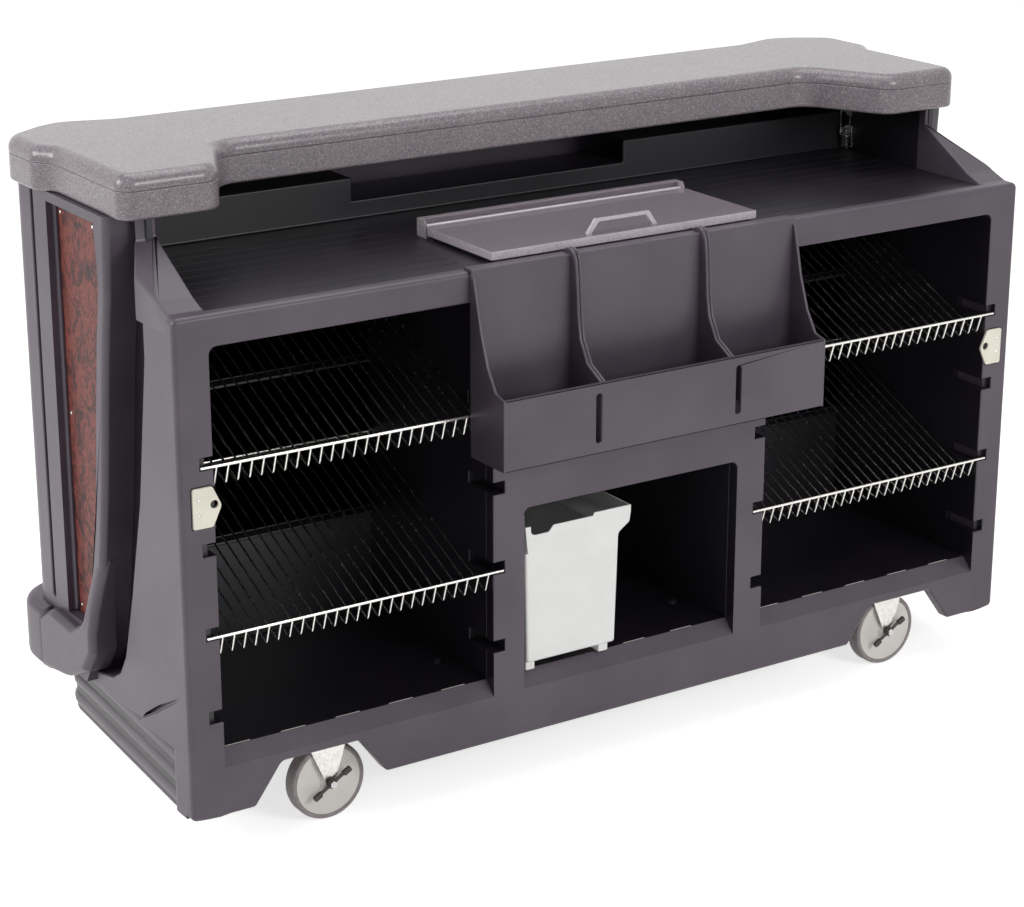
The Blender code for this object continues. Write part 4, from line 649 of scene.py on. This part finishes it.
class BAR_OT_shell(bpy.types.Operator):
    """Models the moulded shell: the face with its bays and arches, the side slabs and the cheeks"""

    bl_idname = "bar.shell"
    bl_label = "Shell"

    def face(self):
        """The front plate, with rack notches, sloped sills and wheel arches."""
        arch = [(0.545, SKIRT_Z, 0.01), (0.60, 0.167, 0.016), (0.76, 0.167, 0.016), (0.815, SKIRT_Z, 0.01)]
        left = [(-x, z, radius) for x, z, radius in reversed(arch)]
        outline = fillet(
            [(-HALF_WIDTH, SKIRT_Z, 0.012), *left, *arch, (HALF_WIDTH, SKIRT_Z, 0.012),
             (HALF_WIDTH, FACE_TOP, 0.012), (-HALF_WIDTH, FACE_TOP, 0.012)])
        face = solid("shell_skin", "Y", (0, 0.025), outline)
        centre = fillet([(-CENTRE_X, SILL_Z, 0), (CENTRE_X, SILL_Z, 0), (CENTRE_X, 0.5435, 0.014),
                         (-CENTRE_X, 0.5435, 0.014)])
        carve(face, solid("centre_cut", "Y", (-0.002, 0.03), centre))
        for side in (-1, 1):
            carve(face, solid("bay_cut", "Y", (-0.002, 0.03), bay_outline(side * BAY_INNER_X, side * BAY_OUTER_X)))
        for low, high in ((-BAY_OUTER_X, -BAY_INNER_X), (-CENTRE_X, CENTRE_X), (BAY_INNER_X, BAY_OUTER_X)):
            wedge = [(0, SILL_Z - 0.0005), (0.025, SILL_Z - 0.0005), (0.025, PAN_TOP - 0.0002)]
            sill = solid("sill", "X", (low - 0.0004, high + 0.0004), wedge)
            unite(face, sill)
        return face

    def slab(self, side):
        """The side slab with its slanted rear edge and the sunk field above the plinth."""
        slab = [(0.012, 0.2125), (0.40, 0.2125), (0.40, 0.238), (0.33, 0.252), (0.296, 0.272), (0.268, 0.315),
                *WALL_REAR_EDGE, (0.012, 1.0)]
        wall = solid("side_slab", "X", (side * 0.886, side * HALF_WIDTH), slab)
        field = [
            (0.017, 0.329), (0.061, 0.300), (0.139, 0.252), (0.222, 0.207), (0.42, 0.207), (0.42, 1.2),
            (0.017, 1.2)]
        carve(wall, solid("side_field", "X", (side * 0.933, side * 0.96), field))
        soften_where(wall, lambda x, y, z: abs(x) > 0.9325 and y > 0.05 and z > 0.21, 0.004, 3, 40)
        crease = fillet([
            (0.052, 0.3105, 0), (0.136, 0.2575, 0.004), (0.205, 0.219, 0), (0.192, 0.232, 0),
            (0.138, 0.2665, 0.006)], 4)
        carve(wall, solid("crease", "X", (side * 0.921, side * 0.96), crease))
        return wall

    def cheek(self, side):
        """The slope that rises from the slab's top to the inner wall beside the counter."""
        outline = fillet([
            (0.012, 0.97, 0), (0.2255, 0.97, 0), (0.2255, 1.109, 0), (0.201, 1.099, 0),
            (0.067, 1.023, 0.04), (0.03, 1.0085, 0.02), (0.012, 1.008, 0)], 5)
        cheek = solid("cheek", "X", (side * 0.866, side * 0.9336), outline)
        plan = [(0.86, 0.01), (0.945, 0.01), (0.945, 0.1307), (0.897, 0.2250), (0.86, 0.2250)]
        keep = solid("keep", "Z", (0.96, 1.2), [(side * x, y) for x, y in plan])
        with_modifier(cheek, "BOOLEAN", object=keep, operation="INTERSECT", solver="EXACT")
        bpy.data.objects.remove(keep, do_unlink=True)
        only(cheek)
        bpy.ops.object.mode_set(mode="EDIT")
        bpy.ops.mesh.select_all(action="SELECT")
        bpy.ops.mesh.bisect(plane_co=(side * 0.94, 0.131, 1.037), plane_no=(side * 0.519, -0.216, 0.826),
                            use_fill=True, clear_outer=True)
        outward()
        post = [(0.866, 0.201), (0.878, 0.203), (0.897, 0.2250), (0.866, 0.2250)]
        post = solid("post", "Z", (1.06, WALL_TOP), [(side * x, y) for x, y in post])
        unite(cheek, post)
        return soften(cheek, 0.0045, 3, 28)

    def execute(self, context):
        shell = self.face()
        unite(shell, self.slab(-1), self.slab(1))
        for side in (-1, 1):
            carve(shell, solid("strike_cut", "Y", (-0.002, 0.003), strike_outline(side, 0.0006)))
            slot = rounded(side * 0.2 - 0.0225, side * 0.2 + 0.0225, 0.640, 0.650, 0.0045)
            carve(shell, solid("slot_cut", "Y", (-0.002, 0.03), slot))
        edge, mouth = sizes().shell_edge, sizes().opening_edge
        soften_where(shell, lambda x, y, z: y < 0.0001 and abs(x) > 0.92, edge, 4, 50)
        soften_where(shell, lambda x, y, z: y < 0.0001 and z < 0.17, edge * 0.6, 3, 50)
        soften_where(shell, lambda x, y, z: y < 0.0001 and abs(x) < 0.92 and z > 0.20, mouth, 3, 50)
        merged(shell, self.cheek(-1), self.cheek(1))

        def in_painted_shade(at, normal):
            """The reveals of the bays and the insides of the rack notches, which take the liners' darker plastic
            as painted shade.
            """
            return abs(at.x) < 0.9005 and 0.215 < at.z < 0.96 and 0.002 < at.y < 0.0249

        settle(shell, "cabinet", "charcoal_polyethylene", ["operator_face", "front_skirt"], 35,
               ("painted_shade_polyethylene", in_painted_shade))
        return {"FINISHED"}


class BAR_OT_liners(bpy.types.Operator):
    """Models the inner walls of the bays and of the counter's well, darkened with painted shade"""

    bl_idname = "bar.liners"
    bl_label = "Liners"

    def execute(self, context):
        for side, name in ((-1, "left"), (1, "right")):
            outline = [
                (0.0253, 0.2123), (0.60, 0.2123), (0.60, 1.1325), (0.2003, 1.1325), (0.2003, 0.9795),
                (0.0253, 0.9795)]
            liner = solid(f"liner_{name}", "X", (side * BAY_OUTER_X, side * 0.8843), outline)
            for z in NOTCH_ZS:
                carve(liner, block("notch", (side * 0.86, side * 0.90), (0.02, 0.0853), (z - 0.0115, z + 0.0115)))
            settle(liner, "cabinet", "painted_shade_polyethylene", [f"end_wall_{name}"])
        for node in ("bay_divider_left", "bay_divider_right", "bay_back_wall"):
            inner = node_copy(node, f"{node}_skin", 0.0015, 2)
            settle(inner, "cabinet", "painted_shade_polyethylene", [node])
        return {"FINISHED"}


class BAR_OT_base(bpy.types.Operator):
    """Models the floor pan and the plinth with its rounded steps"""

    bl_idname = "bar.base"
    bl_label = "Base"

    def tier(self, zs, inset, radius):
        plan = fillet([
            (-0.935 + inset, 0.0255, 0), (0.935 - inset, 0.0255, 0),
            (0.898 - inset, 0.62 - inset, 0.06 - inset), (-0.898 + inset, 0.62 - inset, 0.06 - inset)], 8)
        return soften(solid("tier", "Z", zs, plan), radius, 6, 50)

    def execute(self, context):
        pan = node_copy("base_pan", "base_pan_skin")
        # The pan takes the darker plastic as painted shade.
        settle(pan, "cabinet", "painted_shade_polyethylene", ["base_pan"])
        # Pale strips at the sills' rear edge paint the light seen through the drain slots between the pan and the
        # sills.
        slot_lights = []
        for low, count in ((-0.86, 5), (0.0, 2), (0.33, 5)):
            for step in range(count):
                x = low + 0.112 * step
                slot_lights.append(block("slot", (x, x + 0.05), (0.0262, 0.0278), (0.2120, 0.2126)))
        merged(*slot_lights)
        slot_lights[0].name = "floor_slot_lights"
        settle(slot_lights[0], "cabinet", "pale_grey_polypropylene", ())
        tiers = [
            self.tier((0.095, 0.1345), -0.0043, 0.0192), self.tier((0.1345, 0.1735), -0.0043, 0.0192),
            self.tier((0.1735, 0.2124), -0.0043, 0.0192)]
        inner = fillet([
            (-0.920, 0.01, 0), (0.920, 0.01, 0), (0.884, 0.60, 0.05), (-0.884, 0.60, 0.05)], 8)
        for made in tiers:
            carve(made, solid("inner", "Z", (0.05, 0.30), inner))
        for side in (-1, 1):
            foot = fillet([(side * 0.89, 0.024, 0), (side * 0.9397, 0.024, 0), (side * 0.9397, 0.082, 0.022),
                           (side * 0.89, 0.082, 0)], 6)
            tiers.append(solid("foot", "Z", (0.0925, 0.2128), foot))
            tiers.append(block("ledge", (side * 0.8845, side * 0.922), (0.0255, 0.60), (0.2, 0.2145)))
        merged(*tiers)
        tiers[0].name = "plinth"
        settle(tiers[0], "cabinet", "charcoal_polyethylene", ())
        return {"FINISHED"}


# The guests' side


class BAR_OT_guest(bpy.types.Operator):
    """Models the guest side: slanted ribs, fluted corners, framed wall and foot bumper"""

    bl_idname = "bar.guest"
    bl_label = "Guest side"

    def end(self, side, name):
        inner, rear, floor = 0.8846, 0.655, 0.2123
        outline = [*RIB_EDGE, (0.42, floor), (rear, floor), (rear, WALL_TOP)]
        end = solid(f"guest_end_{name}_skin", "X", (side * inner, side * 0.945), outline)
        keep = fillet([
            (side * 0.87, 0.2, 0), (side * 0.945, 0.2, 0), (side * 0.945, rear, 0.06),
            (side * 0.87, rear, 0)], 12)
        corner = solid("corner", "Z", (floor - 0.01, WALL_TOP + 0.01), keep)
        with_modifier(end, "BOOLEAN", object=corner, operation="INTERSECT", solver="EXACT")
        bpy.data.objects.remove(corner, do_unlink=True)
        front = [(y + 0.04, z) for y, z in RIB_EDGE if 0.33 < z < 1.115]
        recess = [(0.286, 1.115), *front, (0.3945, 0.33), (0.487, 0.33), (0.487, 1.115)]
        carve(end, solid("recess", "X", (side * 0.92, side * 0.96), recess))
        soften_where(end, lambda x, y, z: abs(x) > 0.9445 and y < 0.42 and z > 0.3305, 0.013, 6, 50)
        groove = solid("groove", "X", (side * 0.9395, side * 0.96), rounded(0.545, 0.5565, 0.34, 1.18, 0.005))
        carve(end, groove)
        soften_where(end, lambda x, y, z: abs(x) > 0.9445 and 0.54 < y < 0.56, 0.0025, 3, 50)
        bead = tube("bead", [[(side * 0.927, 0.4865, 0.333), (side * 0.927, 0.4865, 1.12)]], 0.006)
        return merged(end, bead)

    def bend(self, side):
        """The rounded bend where the bumper turns up into the slanted rib."""
        outline = fillet([
            (0.324, 0.48, 0), (0.341, 0.38, 0.05), (0.345, 0.297, 0.024), (0.384, 0.247, 0.03),
            (0.47, 0.207, 0.1), (0.585, 0.1885, 0), (0.585, 0.296, 0), (0.53, 0.325, 0.05),
            (0.43, 0.320, 0.03), (0.388, 0.345, 0.03), (0.366, 0.48, 0)], 6)
        made = solid("bend", "X", (side * 0.915, side * 0.9681), outline)
        bpy.ops.object.mode_set(mode="EDIT")
        bpy.ops.mesh.select_all(action="SELECT")
        bpy.ops.mesh.bisect(plane_co=(side * 0.968, 0.4, 0.335), plane_no=(side * 0.985, 0, 0.175),
                            use_fill=True, clear_outer=True)
        outward()
        soften_where(made, lambda x, y, z: abs(x) > 0.93, 0.0165, 6, 55)
        only(made)
        bpy.ops.object.mode_set(mode="EDIT")
        bpy.ops.mesh.select_all(action="SELECT")
        bpy.ops.mesh.bisect(plane_co=(side * 0.9676, 0, 0), plane_no=(side, 0, 0), use_fill=True, clear_outer=True)
        outward()
        return made

    def bumper(self):
        loop = fillet([
            (-0.968, 0.56, 0), (-0.968, 0.703, 0.083), (0.968, 0.703, 0.083), (0.968, 0.56, 0),
            (0.9453, 0.56, 0), (0.9453, 0.6553, 0.0603), (-0.9453, 0.6553, 0.0603), (-0.9453, 0.56, 0)], 12)
        made = solid("foot_bumper_skin", "Z", (0.188, 0.318), loop)

        def outer(x, y, z):
            corner = abs(x) > 0.885 and y > 0.62
            far = math.hypot(abs(x) - 0.885, y - 0.62) if corner else max(abs(x) - 0.885, y - 0.62)
            return far > 0.0825

        soften_where(made, outer, 0.0215, 6, 40)
        return merged(made, self.bend(-1), self.bend(1))

    def execute(self, context):
        for side, name in ((-1, "left"), (1, "right")):
            end = self.end(side, name)
            settle(end, "cabinet", "charcoal_polyethylene", [f"guest_end_{name}"], 35)
        wall = node_copy("guest_wall", "guest_wall_skin", 0.003, 3)
        settle(wall, "cabinet", "charcoal_polyethylene", ["guest_wall"])
        settle(self.bumper(), "cabinet", "charcoal_polyethylene", ["foot_bumper"], 50)
        for name in ("end_panel_left", "end_panel_right", "guest_panel_left", "guest_panel_centre",
                     "guest_panel_right"):
            panel = node_copy(f"burl_{name}", f"{name}_skin", 0.0006, 1)
            settle(panel, "cabinet", "burl_laminate", [f"burl_{name}"])
        profile = [(0, 0.0016), (0.0020, 0.0014), (0.0032, 0.0004), (0.0032, -0.0006), (0, -0.0006)]
        for side, name in ((-1, "left"), (1, "right")):
            screws = []
            for y, z in ((0.472, 0.345), (0.472, 0.72), (0.472, 1.095), (0.336, 1.095)):
                screw = lathe("screw", profile, (0, 0, 0), "X", 20)
                if side < 0:
                    screw.rotation_euler = (0, 0, math.pi)
                    bpy.ops.object.transform_apply(location=True, rotation=True, scale=True)
                screws.append(move(screw, x=side * 0.9243, y=y, z=z))
            merged(*screws)
            screws[0].name = f"burl_screws_{name}"
            settle(screws[0], "cabinet", "stainless_steel", ())
        return {"FINISHED"}


# The counter


class BAR_OT_counter(bpy.types.Operator):
    """Models the counter deck with its ledges, the ice sink's tub and the clear lid"""

    bl_idname = "bar.counter"
    bl_label = "Counter"

    def execute(self, context):
        # The deck, its ribs and the tub take the darker plastic as painted shade in the well.
        deck = node_copy("counter_deck", "counter_deck_skin", 0.004, 3, 50)
        ribs = []
        for low, high in ((-0.865, -0.34), (0.31, 0.865)):
            for step in range(9):
                y = 0.075 + step * 0.042
                ribs.append(block("rib", (low, high), (y, y + 0.012), (1.0045, 1.0056)))
        merged(deck, *ribs)
        settle(deck, "cabinet", "painted_shade_polyethylene", ["counter_deck"])
        tub = node_copy("ice_sink_tub", "tub_skin", 0.001, 2)
        settle(tub, "cabinet", "painted_shade_polyethylene", ["ice_sink_tub"])
        # The edges of the strip and of the lid take the sawn edge material, milky with a painted highlight.
        strip = node_copy("rear_strip", "rear_strip_skin", 0.0008, 2)
        settle(strip, "cabinet", "clear_polycarbonate", ["rear_strip"],
               trim=("sawn_polycarbonate_highlight", lambda at, normal: abs(normal.z) < 0.5 and normal.y > -0.5))
        lid = node_copy("ice_lid", "ice_lid_skin", 0.0009, 2)
        settle(lid, "lid", "clear_polycarbonate", ["ice_lid"],
               trim=("sawn_polycarbonate_highlight", lambda at, normal: abs(normal.z) < 0.75))
        return {"FINISHED"}


class BAR_OT_speed_rail(bpy.types.Operator):
    """Models the speed rail: a folded trough in three sections that hooks over the counter's edge"""

    bl_idname = "bar.speed_rail"
    bl_label = "Speed rail"

    def execute(self, context):
        low, top, hook = 0.6655, 1.0083, 1.0125
        section = [
            (-0.0003, low), (-0.0003, top), (0.020, top), (0.020, hook), (-0.0063, hook),
            (-0.0063, low + 0.006), (-0.1035, low + 0.006), (-0.1035, 0.798), (-0.1095, 0.798),
            (-0.1095, low)]
        rail = solid("speed_rail_skin", "X", (-0.362, 0.362), section)
        ribs = []
        end = [
            (-0.0008, 1.0073), (-0.012, 0.9963), (-0.034, 0.905), (-0.056, 0.845), (-0.082, 0.805),
            (-0.11, 0.7975), (-0.11, 0.665), (-0.0008, 0.665)]
        divider = [
            (-0.0013, 1.009), (0.0190, 1.009), (0.0185, 1.0165), (0.0110, 1.0215), (-0.0020, 1.0225),
            (-0.0130, 1.0180), (-0.0210, 1.0030), (-0.0260, 0.9600), (-0.0300, 0.9000), (-0.0370, 0.8600),
            (-0.0600, 0.8200), (-0.1075, 0.7950), (-0.1075, 0.6665), (-0.0013, 0.6665)]
        for side in (-1, 1):
            plate = solid("rail_end", "X", (side * 0.3565, side * 0.3625), end)
            unite(rail, soften(plate, 0.002, 3))
            for low in (0.1380, 0.1452):
                plate = solid("rail_divider", "X", (side * low, side * (low + 0.0068)), divider)
                ribs.append(soften_where(plate, lambda x, y, z: z > 0.667 or y > -0.1, 0.0028, 3, 60))
            slot = rounded(side * 0.151, side * 0.164, 0.685, 0.778, 0.006)
            carve(rail, solid("rail_slot", "Y", (-0.12, -0.098), slot))
        soften_where(rail, lambda x, y, z: y < -0.1094 or (z > 1.012 and y < 0), 0.002, 3, 50)
        merged(rail, *ribs)
        settle(rail, "rail", "charcoal_polyethylene", ["speed_rail"])
        return {"FINISHED"}


# Fittings


class BAR_OT_racks(bpy.types.Operator):
    """Models the wire can racks, each wire bent from the front rod down and up to the rear rod"""

    bl_idname = "bar.racks"
    bl_label = "Racks"

    def execute(self, context):
        wire_radius, rod_radius = sizes().wire, sizes().rod
        for name, level in (("lower", 1), ("upper", 3)):
            front = NOTCH_ZS[level] - 0.0115 + 0.0032
            rear = front + 0.1552
            wires = []
            for step in range(25):
                x = 0.3211 + step * (0.8663 - 0.3211) / 24
                wires.append(bowed([(x, 0.005, front), (x, 0.018, front - 0.039), (x, 0.445, rear)], 0.007))
            rods = [
                [(0.897, 0.005, front), (0.290, 0.005, front)], [(0.8718, 0.445, rear), (0.3156, 0.445, rear)]]
            rack = merged(tube("wires", wires, wire_radius, 2), tube("rods", rods, rod_radius, 3))
            rack.name = f"rack_{name}_right"
            other = mirrored(rack, f"rack_{name}_left")
            for obj, side in ((rack, "right"), (other, "left")):
                body = f"rack_lower_{side}" if name == "lower" else "cabinet"
                nodes = [f"rack_lip_{name}_{side}", f"rack_tray_{name}_{side}"]
                settle(obj, body, "bright_wire", nodes)
        return {"FINISHED"}


class BAR_OT_strikes(bpy.types.Operator):
    """Models the lock strike plates and their screws"""

    bl_idname = "bar.strikes"
    bl_label = "Strike plates"

    def execute(self, context):
        for side, name in ((-1, "left"), (1, "right")):
            node = f"lock_strike_{name}"
            settle(node_copy(node, f"{node}_skin", 0.0009, 2), "cabinet", "ivory_nylon", [node])
            profile = [(0, 0.0018), (0.0022, 0.0015), (0.0036, 0.0004), (0.0036, -0.0006), (0, -0.0006)]
            screws = [lathe("screw", profile, (side * 0.906, -0.0023, z), "Y", 20) for z in (0.660, 0.688)]
            screws[0].name = f"strike_screws_{name}"
            settle(merged(*screws), "cabinet", "stainless_steel", ())
        return {"FINISHED"}


class BAR_OT_bin(bpy.types.Operator):
    """Models the white waste bin"""

    bl_idname = "bar.bin"
    bl_label = "Waste bin"

    def execute(self, context):
        outline = fillet([
            (-0.2375, 0.2323, 0), (-0.037, 0.2323, 0), (-0.030, 0.452, 0.01), (-0.004, 0.470, 0.008),
            (-0.004, 0.5045, 0), (-0.2425, 0.5045, 0), (-0.2425, 0.452, 0.01)], 4)
        made = solid("waste_bin_skin", "Y", (0.0025, 0.400), outline)
        soften_where(made, lambda x, y, z: (x > -0.04 or x < -0.236) and z < 0.5, 0.006, 4, 50)
        room = fillet([
            (-0.234, 0.236, 0), (-0.0405, 0.236, 0), (-0.0335, 0.454, 0.01), (-0.0072, 0.4725, 0.008),
            (-0.0072, 0.55, 0), (-0.2393, 0.55, 0), (-0.2393, 0.454, 0.01)], 4)
        carve(made, solid("room", "Y", (0.0058, 0.3967), room))
        scoop = fillet([
            (-0.2300, 0.53, 0), (-0.2300, 0.4865, 0.010), (-0.1900, 0.4865, 0.008), (-0.1800, 0.4985, 0.006),
            (-0.0900, 0.4985, 0.004), (-0.0800, 0.53, 0)], 4)
        carve(made, solid("scoop", "Y", (-0.01, 0.03), scoop))
        soften_where(made, lambda x, y, z: z > 0.485, 0.0009, 2, 40)
        feet = [
            soften(block("foot", xs, (0.0145, 0.380), (0.2125, 0.2335)), 0.003, 3)
            for xs in ((-0.2335, -0.2125), (-0.067, -0.045))]
        merged(made, *feet)
        settle(made, "bin", "white_polypropylene", ["waste_bin"])
        return {"FINISHED"}


class BAR_OT_latches(bpy.types.Operator):
    """Models the draw latches on the inner end walls"""

    bl_idname = "bar.latches"
    bl_label = "Latches"

    def execute(self, context):
        for side in ("left", "right"):
            for kind, body in (("base", "cabinet"), ("keeper", "cabinet"), ("lever", f"lever_{side}"),
                               ("bail", f"bail_{side}")):
                node = f"latch_{kind}_{side}"
                made = node_copy(node, f"{node}_skin", 0.0 if kind == "bail" else 0.0004, 2)
                settle(made, body, "stainless_steel", [node])
        return {"FINISHED"}


class BAR_OT_casters(bpy.types.Operator):
    """Models the four swivel casters, the two at the operator's side with rocker brakes"""

    bl_idname = "bar.casters"
    bl_label = "Casters"

    def wheel(self, name, x, y):
        tread = [
            (0.0655, 0.0135), (0.068, 0.0160), (0.0715, 0.0160), (0.0740, 0.0140), (0.0750, 0.0105),
            (0.0750, -0.0105), (0.0740, -0.0140), (0.0715, -0.0160), (0.068, -0.0160), (0.0655, -0.0135)]
        disc = [
            (0.0054, 0.0190), (0.0145, 0.0190), (0.0155, 0.0165), (0.018, 0.0125), (0.045, 0.0105),
            (0.060, 0.0130), (0.0655, 0.0140), (0.0657, -0.0140), (0.060, -0.0130), (0.045, -0.0105),
            (0.018, -0.0125), (0.0155, -0.0165), (0.0145, -0.0190), (0.0054, -0.0190)]
        centre = (x, y, 0.075)
        tyre = lathe(f"{name}_tyre", tread, centre, "Y", 96)
        settle(tyre, f"{name}_wheel", "grey_tread_rubber", [f"caster_{name}_wheel"])
        hub = lathe(f"{name}_disc", disc, centre, "Y", 96)
        settle(hub, f"{name}_wheel", "pale_grey_polypropylene", ())

    def execute(self, context):
        for name, x, y in (("front_left", -0.638, 0.07), ("front_right", 0.692, 0.07),
                           ("rear_left", -0.638, 0.47), ("rear_right", 0.692, 0.47)):
            self.wheel(name, x, y)
            node = f"caster_{name}"
            for kind, body, material, width in (
                ("plate", "cabinet", "zinc_plate", 0.0008), ("fork", f"{name}_fork", "zinc_plate", 0.0010),
                ("axle", f"{name}_fork", "stainless_steel", 0.0006)):
                made = node_copy(f"{node}_{kind}", f"{node}_{kind}_skin", width, 2)
                settle(made, body, material, [f"{node}_{kind}"])
            if name.startswith("front"):
                made = node_copy(f"{node}_brake", f"{node}_brake_skin", 0.0018, 3, 50)
                settle(made, f"{name}_brake", "dark_rubber", [f"{node}_brake"])
        return {"FINISHED"}


# The stage


class BAR_OT_stage(bpy.types.Operator):
    """Sets the pale floor, the softboxes, the white surroundings and the camera"""

    bl_idname = "bar.stage"
    bl_label = "Stage"

    def softbox(self, name, place, aim, size, power):
        light = bpy.data.lights.new(name, "AREA")
        light.shape = "RECTANGLE"
        light.size, light.size_y = size
        light.energy = power
        made = bpy.data.objects.new(name, light)
        made.location = place
        made.rotation_euler = (Vector(aim) - Vector(place)).to_track_quat("-Z", "Y").to_euler()
        bpy.context.scene.collection.objects.link(made)

    def floor(self):
        object_mode()
        bpy.ops.mesh.primitive_plane_add(size=30)
        made = bpy.context.object
        made.name = "floor"
        paper = bpy.data.materials.new("white_paper")
        paper.use_nodes = True
        tree = paper.node_tree
        shader = tree.nodes["Principled BSDF"]
        shader.inputs["Base Color"].default_value = (*sizes_of_light().floor, 1)
        shader.inputs["Roughness"].default_value = 0.9
        shader.inputs["Emission Color"].default_value = (1, 1, 1, 1)
        wire(tree, shader, {"Emission Strength": self.seen(tree, 0.0, 0.7)})
        made.data.materials.append(paper)

    def seen(self, tree, otherwise, strength):
        """One strength for what the camera, mirrors and clear sheets see, and another for the rest."""
        path = tree.nodes.new("ShaderNodeLightPath")
        seen = add(tree, "ShaderNodeMath", {
            0: path.outputs["Is Camera Ray"], 1: path.outputs["Is Transmission Ray"]}, operation="MAXIMUM")
        seen = add(tree, "ShaderNodeMath", {0: seen, 1: path.outputs["Is Glossy Ray"]}, operation="MAXIMUM")
        return add(tree, "ShaderNodeMapRange", {"Value": seen, "To Min": otherwise, "To Max": strength})

    def surroundings(self):
        """White where the camera, mirrors and clear sheets see it, and a soft grey light otherwise."""
        world = bpy.data.worlds.new("studio")
        world.use_nodes = True
        tree = world.node_tree
        wire(tree, tree.nodes["Background"], {"Color": (1, 1, 1, 1), "Strength": self.seen(tree, 0.36, 1.05)})
        bpy.context.scene.world = world

    def execute(self, context):
        light = sizes_of_light()
        self.floor()
        self.surroundings()
        self.softbox("key", (-4.3, 1.0, 2.7), (-0.5, 0, 0.7), (2.0, 2.0), light.key)
        self.softbox("top", (0.3, 0.2, 4.2), (0, 0, 1.0), (3.4, 2.4), light.top)
        self.softbox("front", (1.0, -4.9, 2.6), (0, 0, 0.6), (2.0, 1.5), light.front)
        camera = bpy.data.cameras.new("camera")
        camera.sensor_width = 36
        camera.lens = 92.73
        made = bpy.data.objects.new("camera", camera)
        made.location = (-2.748, -4.0995, 2.182)
        made.rotation_euler = (math.radians(90 - 18.5918), 0, -math.radians(33.0488))
        context.scene.collection.objects.link(made)
        context.scene.camera = made
        context.scene.view_settings.view_transform = "Standard"
        return {"FINISHED"}


class BAR_PT_panel(bpy.types.Panel):
    """The bar's sizes and its steps, in the sidebar"""

    bl_label = "Portable bar"
    bl_idname = "BAR_PT_panel"
    bl_space_type = "VIEW_3D"
    bl_region_type = "UI"
    bl_category = "Portable bar"

    def draw(self, context):
        for group in (sizes(), sizes_of_light()):
            for key in group.bl_rna.properties.keys():
                if key not in ("rna_type", "name"):
                    self.layout.prop(group, key)
        for step in STEPS:
            self.layout.operator(step.bl_idname)


STEPS = (
    BAR_OT_top, BAR_OT_shell, BAR_OT_liners, BAR_OT_base, BAR_OT_guest, BAR_OT_counter,
    BAR_OT_speed_rail, BAR_OT_racks, BAR_OT_strikes, BAR_OT_bin, BAR_OT_latches, BAR_OT_casters,
    BAR_OT_stage,
)
CLASSES = (BarSizes, BarLight, *STEPS, BAR_PT_panel)


def register():
    for cls in CLASSES:
        bpy.utils.register_class(cls)
    bpy.types.Scene.bar_sizes = PointerProperty(type=BarSizes)
    bpy.types.Scene.bar_light = PointerProperty(type=BarLight)


def unregister():
    del bpy.types.Scene.bar_light
    del bpy.types.Scene.bar_sizes
    for cls in reversed(CLASSES):
        bpy.utils.unregister_class(cls)


def main():
    register()
    make_materials()
    bpy.ops.bar.top()
    bpy.ops.bar.shell()
    bpy.ops.bar.liners()
    bpy.ops.bar.base()
    bpy.ops.bar.guest()
    bpy.ops.bar.counter()
    bpy.ops.bar.speed_rail()
    bpy.ops.bar.racks()
    bpy.ops.bar.strikes()
    bpy.ops.bar.bin()
    bpy.ops.bar.latches()
    bpy.ops.bar.casters()
    bpy.ops.bar.stage()


if __name__ == "__main__":
    main()
